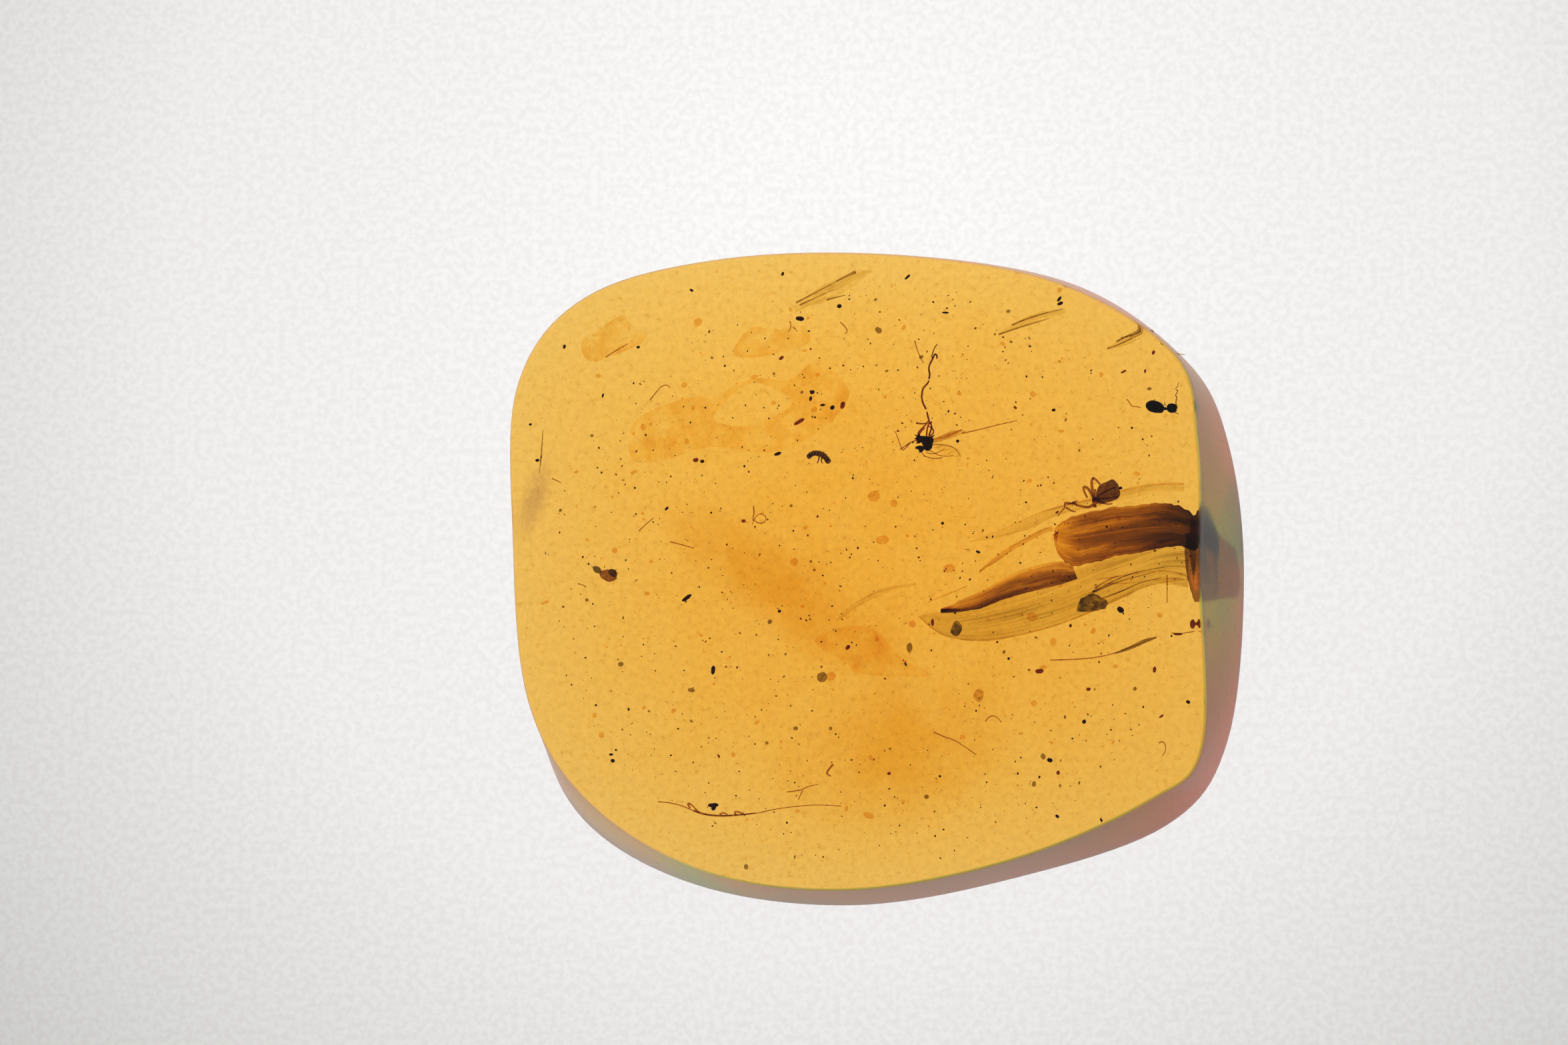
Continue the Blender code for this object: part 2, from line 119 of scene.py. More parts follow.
def linear(colour_hex, alpha=1.0):
    """The linear colour of an sRGB hex value."""
    channels = [int(colour_hex[i:i + 2], 16) / 255 for i in (1, 3, 5)]
    return (*(c / 12.92 if c <= 0.04045 else ((c + 0.055) / 1.055) ** 2.4 for c in channels), alpha)


def add_node(tree, kind, inputs=None, stops=None, **settings):
    """Adds a node with its settings and links.

    An input gets a value, another node's output, or a whole node, which stands for that node's first output.
    """
    made = tree.nodes.new("ShaderNode" + kind)
    for name, value in settings.items():
        setattr(made, name, value)
    for name, value in (inputs or {}).items():
        if isinstance(value, bpy.types.Node):
            value = value.outputs[0]
        if isinstance(value, bpy.types.NodeSocket):
            tree.links.new(value, made.inputs[name])
        else:
            made.inputs[name].default_value = value
    for i, (place, colour) in enumerate(stops or ()):
        elements = made.color_ramp.elements
        stop = elements[i] if i < 2 else elements.new(place)
        stop.position = place
        stop.color = linear(colour)
    return made


def new_material(name):
    material = bpy.data.materials.new(name)
    material.use_nodes = True
    material.node_tree.nodes.clear()
    return material, material.node_tree


def finish_stain(material, tree, stain, clear=1.0):
    """Ends a material that resin has soaked, so that it bends no light and has no gloss, only a colour."""
    shader = add_node(tree, "BsdfPrincipled", {
        "Base Color": stain, "Roughness": 0.0, "IOR": 1.0, "Transmission Weight": clear})
    add_node(tree, "OutputMaterial", {"Surface": shader})
    return material


def polished_amber():
    """Fossil resin, cut and buffed: clear and yellow, more orange where it is thick.

    Its narrow side is only ground, so it looks frosted. Its tint there is painted shade: mauve, then green,
    olive and darker towards the lower right, where the wall looks dark. Clouds and dust lie all over it.
    """
    material, tree = new_material("polished_amber")
    side = add_node(tree, "Attribute", attribute_name="ground_side_and_shade")
    frost = add_node(tree, "ValToRGB", {"Fac": side.outputs["Fac"]}, stops=[
        (0.0, "#000000"), (0.25, "#a2a2a2")])
    # Painted shade on the ground side: a mauve tint that turns green, olive and darker as the mark rises,
    # where the wall looks dark.
    side_painted_shade = add_node(tree, "ValToRGB", {"Fac": side.outputs["Fac"]}, stops=[
        (0.0, "#ffffff"), (0.25, "#ded0dc"), (0.5, "#94f2a0"), (0.75, "#9cb83c"), (1.0, "#6c944c")])
    place = add_node(tree, "TexCoord")
    over_pebble = add_node(tree, "Mapping", {
        "Vector": place.outputs["Object"], "Scale": Vector((*DOME_HALF_SIZE, 40.0)) * MM},
        vector_type="TEXTURE")
    inner = add_node(tree, "TexGradient", {"Vector": over_pebble}, gradient_type="SPHERICAL")
    inner_part = add_node(tree, "Math", {0: inner.outputs["Fac"], 1: 0.3}, operation="POWER")
    clouds = add_node(tree, "TexNoise", {
        "Vector": place.outputs["Object"], "Scale": CLOUDS_PER_MM / MM, "Detail": 4.0, "Roughness": 0.6,
        "Distortion": 0.6})
    warmth = add_node(tree, "Math", {0: inner_part, 1: clouds}, operation="MULTIPLY")
    warm = add_node(tree, "ValToRGB", {"Fac": warmth}, stops=[
        (0.3, "#ffffff"), (0.5, "#fdf8e2"), (0.66, "#f8eab8")])
    # Real dust is finer than this: its grains are drawn a quarter of a millimetre wide so that they show.
    dust = add_node(tree, "TexNoise", {
        "Vector": place.outputs["Object"], "Scale": 1 / (DUST_GRAIN_MM * MM), "Detail": 4.0,
        "Roughness": 0.7})
    dusty = add_node(tree, "ValToRGB", {"Fac": dust}, stops=[
        (0.52, "#ffffff"), (0.62, "#f8f0da"), (0.72, "#d0b888")])
    # Inputs 6 and 7 and output 2 of a Mix node are the ones that hold colours.
    stained = add_node(tree, "Mix", {
        "Factor": 1.0, 6: warm, 7: dusty}, data_type="RGBA", blend_type="MULTIPLY")
    tint = add_node(tree, "Mix", {
        "Factor": 1.0, 6: stained.outputs[2], 7: side_painted_shade}, data_type="RGBA", blend_type="MULTIPLY")
    shader = add_node(tree, "BsdfPrincipled", {
        "Base Color": tint.outputs[2], "Roughness": frost, "IOR": 1.54, "Transmission Weight": 1.0})
    depth = add_node(tree, "VolumeAbsorption", {"Color": linear("#ffe43f"), "Density": 490.0})
    add_node(tree, "OutputMaterial", {"Surface": shader, "Volume": depth})
    return material


def sealed_matter(name, stops, grain_mm, stretch=(1.0, 1.0, 1.0), heading=0.0, clear=1.0):
    """Matter that the resin has wetted right through, with a mottling that goes from stop to stop.

    Its spots have this size, and are longer along the heading if they are stretched.
    """
    material, tree = new_material(name)
    place = add_node(tree, "TexCoord")
    turned = add_node(tree, "Mapping", {
        "Vector": place.outputs["Object"], "Rotation": (0.0, 0.0, math.radians(heading)),
        "Scale": Vector(stretch) * MM * grain_mm}, vector_type="TEXTURE")
    mottle = add_node(tree, "TexNoise", {"Vector": turned, "Scale": 1.0, "Detail": 3.0})
    stain = add_node(tree, "ValToRGB", {"Fac": mottle}, stops=stops)
    return finish_stain(material, tree, stain, clear)


def cuticle(name, stops, grain_mm, roughness):
    """Insect shell, hard and too thick to see through, dark with lighter patches and fine dimples."""
    material, tree = new_material(name)
    place = add_node(tree, "TexCoord")
    mottle = add_node(tree, "TexNoise", {
        "Vector": place.outputs["Object"], "Scale": 1.0 / (grain_mm * MM), "Detail": 4.0})
    colour = add_node(tree, "ValToRGB", {"Fac": mottle}, stops=stops)
    dimples = add_node(tree, "TexVoronoi", {"Vector": place.outputs["Object"], "Scale": DIMPLES_PER_MM / MM})
    relief = add_node(tree, "Bump", {"Height": dimples, "Strength": 0.4, "Distance": 0.02 * MM})
    shader = add_node(tree, "BsdfPrincipled", {
        "Base Color": colour, "Roughness": roughness, "IOR": 1.1, "Normal": relief})
    add_node(tree, "OutputMaterial", {"Surface": shader})
    return material


def fibrous(name, stops, fibres, patches, darker_end=0.0, lighter_side=0.0):
    """Bark or torn fibre soaked with resin: streaks that follow its length, and darker charred patches.

    There are this many fibres across it, and this many patches along it and across it. It can grow darker
    from its start to its end, and lighter from its low edge to its high edge.
    """
    material, tree = new_material(name)
    lengthwise = add_node(tree, "UVMap")
    drawn_out = add_node(tree, "Mapping", {"Vector": lengthwise, "Scale": (2.0, fibres, 1.0)})
    streaks = add_node(tree, "TexNoise", {
        "Vector": drawn_out, "Scale": 1.0, "Detail": 5.0, "Roughness": 0.7, "Distortion": 0.5})
    blotched = add_node(tree, "Mapping", {"Vector": lengthwise, "Scale": (*patches, 1.0)})
    charred = add_node(tree, "TexNoise", {"Vector": blotched, "Scale": 1.0, "Detail": 3.0, "Distortion": 0.3})
    both = add_node(tree, "Mix", {"Factor": 0.45, "A": streaks, "B": charred}, data_type="FLOAT")
    ends = add_node(tree, "SeparateXYZ", {"Vector": lengthwise})
    along_it = add_node(tree, "Math", {
        0: ends.outputs["X"], 1: -darker_end, 2: both}, operation="MULTIPLY_ADD")
    darker = add_node(tree, "Math", {
        0: ends.outputs["Y"], 1: lighter_side, 2: along_it}, operation="MULTIPLY_ADD")
    stain = add_node(tree, "ValToRGB", {"Fac": darker}, stops=stops)
    return finish_stain(material, tree, stain)


def resin_cloud(name, tint, middle, half_size, heading, wisp_mm):
    """A cloudy flow inside the resin, strongest at its middle and fading out to nothing in torn wisps."""
    material, tree = new_material(name)
    place = add_node(tree, "TexCoord")
    centred = add_node(tree, "Mapping", {
        "Vector": place.outputs["Object"], "Location": Vector(middle) * MM,
        "Rotation": (0.0, 0.0, math.radians(heading)), "Scale": Vector((*half_size, 4.0)) * MM},
        vector_type="TEXTURE")
    ball = add_node(tree, "TexGradient", {"Vector": centred}, gradient_type="SPHERICAL")
    torn = add_node(tree, "TexNoise", {
        "Vector": place.outputs["Object"], "Scale": 1.0 / (wisp_mm * MM), "Detail": 3.0, "Distortion": 1.0})
    strength = add_node(tree, "Math", {0: ball.outputs["Fac"], 1: torn}, operation="MULTIPLY")
    stain = add_node(tree, "ValToRGB", {"Fac": strength}, stops=[(0.02, "#ffffff"), (0.4, tint)])
    return finish_stain(material, tree, stain)


def opal_light_table():
    """A lit opal acrylic sheet, pale with a faint grain, a little duller away from its lamps."""
    material, tree = new_material("opal_light_table")
    place = add_node(tree, "TexCoord")
    grain = add_node(tree, "TexNoise", {
        "Vector": place.outputs["Object"], "Scale": TABLE_GRAINS_PER_MM / MM, "Detail": 1.0})
    mottle = add_node(tree, "ValToRGB", {"Fac": grain}, stops=[(0.36, "#f8f7f7"), (0.62, "#ffffff")])
    from_lamp = add_node(tree, "Mapping", {
        "Vector": place.outputs["Object"], "Location": Vector((-2.0, 14.0, 0.0)) * MM,
        "Scale": Vector((60.0, 60.0, 60.0)) * MM}, vector_type="TEXTURE")
    falloff = add_node(tree, "TexGradient", {"Vector": from_lamp}, gradient_type="SPHERICAL")
    tone = add_node(tree, "ValToRGB", {"Fac": falloff.outputs["Fac"]}, stops=[
        (0.0, "#b9b8b6"), (0.25, "#d8d8d6"), (0.5, "#f1efee"), (0.9, "#fcfbf9")])
    both = add_node(tree, "Mix", {"Factor": 1.0, 6: tone, 7: mottle}, data_type="RGBA", blend_type="MULTIPLY")
    shader = add_node(tree, "BsdfPrincipled", {
        "Base Color": linear("#303030"), "Roughness": 1.0, "Specular IOR Level": 0.0,
        "Emission Color": both.outputs[2], "Emission Strength": 1.0})
    add_node(tree, "OutputMaterial", {"Surface": shader})
    return material


# The clear pebble


def fade(value, start, length):
    """0 up to the start, then rising evenly to 1 over the length."""
    return min(max((value - start) / length, 0.0), 1.0)


def bent(before, start, end, after, share):
    """The place at this share of the way from start to end on a Catmull-Rom line."""
    bend = (end - before) * share + (2 * before - 5 * start + 4 * end - after) * share**2
    return start + 0.5 * (bend + (3 * start - before - 3 * end + after) * share**3)


def smooth_closed(points, steps):
    """A smooth line closed through the points, with this many steps from one to the next."""
    points = [Vector(p) for p in points]
    line = []
    for i in range(len(points)):
        corners = [points[(i + k) % len(points)] for k in (-1, 0, 1, 2)]
        line += [bent(*corners, step / steps) for step in range(steps)]
    return line


def inset(line, distance):
    """The closed counterclockwise line moved inwards by this distance."""
    count = len(line)
    moved = []
    for i, point in enumerate(line):
        along = (line[(i + 1) % count] - line[i - 1]).normalized()
        moved.append(point + Vector((-along.y, along.x)) * distance)
    return moved


def at_height(line, height):
    return [Vector((p.x, p.y, height)) for p in line]


def flat(level, *places):
    """The places of a line that runs level."""
    return [(*place, level) for place in places]


def at_rim(line, drop=0.0):
    """The line at the rim's own sloping and bowed height, less the drop."""
    return [Vector((p.x, p.y, RIM_HEIGHT + RIM_SLOPE * p.x - RIM_BOW * p.y**2 - drop)) for p in line]


def pebble_rings(steps):
    """The rings of the pebble's surface from the base's edge up to the middle of the dome, in millimetres."""
    girdle = smooth_closed(GIRDLE_MM, steps)
    rim = smooth_closed(RIM_MM, steps)
    for step in range(BASE_RINGS):
        turn = step / BASE_RINGS * math.pi / 2
        ring = inset(girdle, BASE_ROUND * (1 - math.sin(turn)))
        for point, edge in zip(ring, girdle):
            tight = TIGHT_SHARE * fade(-point.x, -TIGHT_FROM, TIGHT_OVER)
            point.xy = point.xy.lerp(edge.xy, tight)
        yield at_height(ring, GIRDLE_HEIGHT * (1 - math.cos(turn)))
    for step in range(WALL_RINGS + 1):
        up = step / WALL_RINGS
        ring = []
        for low, high in zip(at_height(girdle, GIRDLE_HEIGHT), at_rim(rim, RIM_ROUND)):
            point = low.lerp(high, up**WALL_CURVE)
            point.z = low.z + (high.z - low.z) * up
            ring.append(point)
        yield ring
    for step in range(1, RIM_RINGS):
        turn = step / RIM_RINGS * math.pi / 2
        yield at_rim(inset(rim, RIM_ROUND * (1 - math.cos(turn))), RIM_ROUND * (1 - math.sin(turn)))
    edge = inset(rim, RIM_ROUND)
    for step in range(DOME_RINGS):
        share = 1 - step / DOME_RINGS
        ring = []
        for point in edge:
            on_oval = point / math.hypot(point.x / DOME_HALF_SIZE.x, point.y / DOME_HALF_SIZE.y)
            ring.append(on_oval.lerp(point, share**2) * share)
        ring = at_rim(ring)
        for point in ring:
            point.z += DOME_RISE * (1 - share**2)
        yield ring


def around(place):
    return math.atan2(place.y, place.x)


def put_selected(obj, places):
    """Moves the selected points of the mesh being edited to these places, both in order round the middle."""
    work = bmesh.from_edit_mesh(obj.data)
    chosen = sorted((v for v in work.verts if v.select), key=lambda v: around(v.co))
    for vert, place in zip(chosen, sorted(places, key=around)):
        vert.co = place * MM
    bmesh.update_edit_mesh(obj.data)


def side_and_shade_mark(place, upright):
    """What the amber's attribute holds here: 0 where it is buffed, and from a quarter up where it is ground.

    Above a quarter the mark is painted shade: it rises towards the lower right, where the wall is high and
    looks dark, and is low at the left and behind.
    """
    # At the left end the turn of the base is ground too.
    lowest = 0.05 if place.x < -10.0 else 0.5
    if upright >= 0.6 or place.z <= lowest:
        return 0.0
    below = fade(-place.y, 3.0, 9.0)
    away_from_left = fade(place.x, -10.0, 6.0)
    behind = fade(place.y, 8.0, 3.0)
    return 0.25 + (0.25 + 0.5 * below) * away_from_left * (1 - behind)


def add_pebble():
    rings = list(pebble_rings(steps=10))
    deselect_all()
    bpy.ops.mesh.primitive_circle_add(vertices=len(rings[0]), radius=15 * MM, fill_type="NGON")
    pebble = bpy.context.object
    pebble.name = "amber"
    bpy.ops.object.mode_set(mode="EDIT")
    put_selected(pebble, rings[0])
    bpy.ops.mesh.select_mode(type="EDGE")
    for ring in rings[1:]:
        bpy.ops.mesh.extrude_edges_move()
        put_selected(pebble, ring)
    bpy.ops.mesh.merge(type="CENTER")
    bpy.ops.mesh.select_all(action="SELECT")
    bpy.ops.mesh.normals_make_consistent(inside=False)
    bpy.ops.object.mode_set(mode="OBJECT")
    bpy.ops.object.shade_smooth_by_angle(angle=math.radians(60))
    # The mark holds the ground finish, and above a quarter the painted shade of the wall's tint.
    marks = pebble.data.attributes.new("ground_side_and_shade", "FLOAT", "POINT").data
    for vert, mark in zip(pebble.data.vertices, marks):
        mark.value = side_and_shade_mark(vert.co / MM, abs(vert.normal.z))
    pebble.data.materials.append(polished_amber())
    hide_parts("amber_lower", "amber_upper")
    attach(pebble, "root")


# Ways of making the small sealed things


def deselect_all():
    bpy.ops.object.select_all(action="DESELECT")


def apply_place(obj):
    bpy.ops.object.transform_apply(location=True, rotation=True, scale=True)


def made_mesh(curve):
    """An object from the curve, turned into a mesh."""
    made = bpy.data.objects.new(curve.name, curve)
    bpy.context.collection.objects.link(made)
    deselect_all()
    made.select_set(True)
    bpy.context.view_layer.objects.active = made
    bpy.ops.object.convert(target="MESH")
    return made


def finish_piece(piece, name, slot, *nodes):
    piece.name = name
    if nodes:
        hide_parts(*nodes)
    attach(piece, "root")


def finish_animal(parts, node, middle):
    """Joins an animal's parts, which are made about its own middle, and moves them to where it lies."""
    animal = joined(parts)
    animal.data.transform(Matrix.Translation(middle * MM))
    finish_piece(animal, node + "_body", node, node)


def joined(pieces):
    deselect_all()
    for piece in pieces:
        piece.select_set(True)
    bpy.context.view_layer.objects.active = pieces[0]
    bpy.ops.object.join()
    return pieces[0]


def given(piece, material):
    piece.data.materials.clear()
    piece.data.materials.append(material)
    return piece


def radius_at(outline, angle):
    """How far the outline is from its own middle in this direction."""
    ray = Vector((math.cos(angle), math.sin(angle)))
    slack = 0.001
    for start, end in zip(outline, outline[1:] + outline[:1]):
        side = end - start
        cross = ray.x * side.y - ray.y * side.x
        if abs(cross) < 1e-9:
            continue
        reach = (start.x * side.y - start.y * side.x) / cross
        share = (start.x * ray.y - start.y * ray.x) / cross
        if reach > 0 and -slack <= share <= 1 + slack:
            return reach
    return max(p.length for p in outline)


def add_body(outline, height, middle=(0, 0, 0), dents=0.04, seed=0, fine=24):
    """A ball drawn out sideways to an outline about its middle, with small dents."""
    deselect_all()
    bpy.ops.mesh.primitive_uv_sphere_add(segments=fine, ring_count=fine // 2, radius=MM)
    body = bpy.context.object
    line = smooth_closed(outline, 4)
    rays = 72
    reach = [radius_at(line, math.tau * i / rays) for i in range(rays)]
    for vert in body.data.vertices:
        unit = vert.co / MM
        if math.hypot(unit.x, unit.y) > 0.01:
            turn = math.atan2(unit.y, unit.x) % math.tau / math.tau * rays
            low, share = int(turn) % rays, turn % 1
            wide = reach[low] * (1 - share) + reach[(low + 1) % rays] * share
            unit.x, unit.y = unit.x * wide, unit.y * wide
        unit.z *= height / 2
        unit *= 1 + dents * noise.noise(unit * 5 + Vector((seed, 0, 0)))
        vert.co = (unit + Vector(middle)) * MM
    bpy.ops.object.shade_smooth()
    return body


def add_egg(middle, size, heading=0.0, dents=0.05, seed=0, fine=16):
    """A small oval body, its size given along its own length, across and upwards."""
    turn = math.radians(heading)
    outline = []
    for i in range(12):
        angle = math.tau * i / 12
        x, y = size[0] / 2 * math.cos(angle), size[1] / 2 * math.sin(angle)
        outline.append((x * math.cos(turn) - y * math.sin(turn), x * math.sin(turn) + y * math.cos(turn)))
    return add_body(outline, size[2], middle, dents, seed, fine)


def add_threads(lines, radius, thin=None, sides=1):
    """Round threads along bent lines, from one radius to the other, with closed ends."""
    curve = bpy.data.curves.new("threads", "CURVE")
    curve.dimensions = "3D"
    curve.bevel_depth = MM
    curve.bevel_resolution = sides
    curve.resolution_u = 4
    curve.use_fill_caps = True
    for line in lines:
        spline = curve.splines.new("NURBS")
        spline.points.add(len(line) - 1)
        spline.order_u = 3
        spline.use_endpoint_u = True
        for i, place in enumerate(line):
            share = i / (len(line) - 1)
            spline.points[i].co = (*(Vector(place) * MM), 1.0)
            spline.points[i].radius = radius + ((thin or radius) - radius) * share
    threads = made_mesh(curve)
    bpy.ops.object.shade_smooth()
    return threads


def along(points, share):
    """The place at this share of the way along an open smooth line through the points."""
    points = [Vector(p) for p in points]
    spot = min(share, 0.9999) * (len(points) - 1)
    i = int(spot)
    corners = [points[min(max(k, 0), len(points) - 1)] for k in range(i - 1, i + 3)]
    return bent(*corners, spot - i)


def add_strip(low_edge, high_edge, level, thick, waves=0.1, rough=0.0, steps=(60, 12), seed=0):
    """A thin strip between two edge lines, both from left to right, with waves along it and frayed edges.

    The lines lie at this level, or hold their own heights if the level is None.
    """
    deselect_all()
    bpy.ops.mesh.primitive_grid_add(x_subdivisions=steps[0], y_subdivisions=steps[1], size=1.0)
    strip = bpy.context.object
    for vert in strip.data.vertices:
        share, across = vert.co.x + 0.5, vert.co.y + 0.5
        fray = rough * noise.noise(Vector((share * 24, across * 3, seed)))
        place = along(low_edge, share).lerp(along(high_edge, share), across * (1 + fray) - fray / 2)
        lift = waves * noise.noise(Vector((share * 3, across * 5, seed)))
        vert.co = Vector((place.x, place.y, (place.z if level is None else level) + lift)) * MM
    solid = strip.modifiers.new("thickness", "SOLIDIFY")
    solid.thickness = thick * MM
    solid.offset = 0.0
    bpy.ops.object.modifier_apply(modifier=solid.name)
    bpy.ops.object.shade_smooth_by_angle(angle=math.radians(50))
    return strip


def add_sheet(outline, level, thick=FILM_THICK, hole=None):
    """A thin flat sheet cut to an outline, with a hole if one is given."""
    curve = bpy.data.curves.new("sheet", "CURVE")
    curve.dimensions = "2D"
    curve.fill_mode = "BOTH"
    curve.extrude = thick / 2 * MM
    for line in filter(None, (outline, hole)):
        line = smooth_closed(line, 4)
        spline = curve.splines.new("POLY")
        spline.points.add(len(line) - 1)
        for point, place in zip(spline.points, line):
            point.co = (*(place * MM), 0.0, 1.0)
        spline.use_cyclic_u = True
    sheet = made_mesh(curve)
    sheet.location.z = level * MM
    apply_place(sheet)
    return sheet


def add_cloud(name, tint, middle, half_size, heading, wisp_mm):
    """A soft stain in the resin, held by a thin clear disc."""
    deselect_all()
    bpy.ops.mesh.primitive_cylinder_add(
        vertices=32, radius=MM, depth=0.05 * MM, location=Vector(middle) * MM,
        rotation=(0, 0, math.radians(heading)), scale=(*half_size, 1.0))
    cloud = bpy.context.object
    apply_place(cloud)
    given(cloud, resin_cloud(name, tint, middle, half_size, heading, wisp_mm))
    finish_piece(cloud, name, "amber")


def add_grain():
    """One rough grain, a millimetre across, for the specks to be copied from."""
    deselect_all()
    bpy.ops.mesh.primitive_ico_sphere_add(subdivisions=2, radius=0.5 * MM)
    bpy.ops.object.mode_set(mode="EDIT")
    bpy.ops.mesh.select_all(action="SELECT")
    bpy.ops.transform.vertex_random(offset=0.12 * MM, seed=3)
    bpy.ops.object.mode_set(mode="OBJECT")
    bpy.ops.object.shade_smooth()
    return bpy.context.object


def add_specks(name, slot, material, grain, specks):
    """Copies of the grain, each (x, y, z, length, width, heading), made one piece."""
    copies = []
    for x, y, z, length, width, heading in specks:
        copy = grain.copy()
        copy.data = grain.data.copy()
        bpy.context.collection.objects.link(copy)
        turn = Matrix.Rotation(math.radians(heading), 4, "Z")
        size = Matrix.Diagonal((length, width, min(width, 0.4), 1.0))
        copy.data.transform(Matrix.Translation(Vector((x, y, z)) * MM) @ turn @ size)
        copies.append(copy)
    finish_piece(given(joined(copies), material), name, slot)


# The sealed animals


def add_spider():
    """A small hunched spider, its long front legs stretched to the left."""
    # A soft belly that darkened as the resin drew the water out of it: brown and mottled.
    belly_skin = sealed_matter("dried_spider_belly", [(0.3, "#5a4432"), (0.52, "#785842"), (0.72, "#967050")],
                               grain_mm=0.22, clear=0.85)
    # The harder shell of the chest and the jaws is redder and lets light through, as the thin legs do.
    chest_skin = sealed_matter("spider_chest", [(0.35, "#7d4c34"), (0.65, "#a46a48")], 0.1, clear=0.9)
    leg_skin = sealed_matter("thin_leg_cuticle", [(0.3, "#866040"), (0.7, "#b08252")], grain_mm=0.12)
    horn = cuticle("horny_tip", [(0.3, "#1c0a04"), (0.7, "#3a1608")], grain_mm=0.1, roughness=0.5)
    belly = add_body(
        [(0.2, 0.52), (0.4, 0.34), (0.47, 0.12), (0.46, -0.26), (0, -0.46), (-0.44, -0.52), (-0.5, -0.2),
         (-0.47, 0.12), (-0.3, 0.32), (-0.02, 0.44)], 0.8, dents=0.07, seed=1, fine=32)
    tip = add_egg((0.52, 0.14, 0), (0.18, 0.13, 0.12), 10)
    chest = add_egg((-0.58, -0.38, -0.08), (0.3, 0.34, 0.32), 60, 0.15, seed=2)
    jaws = add_egg((-0.6, -0.6, -0.05), (0.16, 0.18, 0.16), 60, 0.15, seed=4)
    long_legs = add_threads([
        [(-0.56, -0.42, 0), (-0.66, -0.1, 0.08), (-0.7, 0.3, 0.14), (-0.7, 0.49, 0.15), (-0.62, 0.58, 0.15),
         (-0.5, 0.5, 0.12), (-0.34, 0.3, 0.1)],
        [(-0.6, -0.42, 0), (-0.72, -0.1, 0.08), (-0.84, 0.12, 0.14), (-0.98, 0.22, 0.18),
         (-1.06, 0.18, 0.18), (-1.03, 0, 0.15), (-0.9, -0.26, 0.1)],
        [(-0.64, -0.52, -0.05), (-0.8, -0.66, 0), (-1, -0.66, 0), (-1.24, -0.6, 0.05), (-1.4, -0.56, 0.05)],
        [(-0.5, -0.35, 0), (-0.58, -0.1, 0.05), (-0.56, 0.1, 0.1)],
    ], radius=0.07, thin=0.045, sides=2)
    thin_legs = add_threads([
        [(-1.36, -0.55, 0.05), (-1.58, -0.49, 0.05), (-1.92, -0.42, 0), (-1.88, -0.6, 0), (-1.94, -0.72, 0),
         (-2.08, -0.84, 0), (-2.2, -1.02, 0)],
        [(-1.4, -0.5, 0.05), (-1.54, -0.46, 0.05), (-1.68, -0.52, 0), (-1.86, -0.5, 0)],
        [(-1.86, -0.66, -0.05), (-1.74, -0.72, -0.1), (-1.62, -0.82, -0.12), (-1.44, -0.84, -0.12)],
        [(-1.56, -0.46, 0.05), (-1.44, -0.42, 0.05), (-1.34, -0.38, 0.05)],
    ], radius=0.045, thin=0.025, sides=2)
    far_legs = add_threads([
        [(-0.5, -0.3, -0.1), (-0.2, -0.6, -0.3), (0.1, -0.5, -0.42)],
        [(-0.5, -0.3, -0.1), (-0.1, -0.3, -0.42), (0.3, -0.2, -0.42)],
        [(-0.5, -0.2, -0.1), (-0.1, 0.1, -0.42), (0.25, 0.2, -0.42)],
    ], radius=0.045, thin=0.03, sides=2)
    legs = given(joined([long_legs, thin_legs, far_legs]), leg_skin)
    parts = [given(belly, belly_skin), given(tip, horn), given(joined([chest, jaws]), chest_skin), legs]
    finish_animal(parts, "spider", SPIDER_AT)


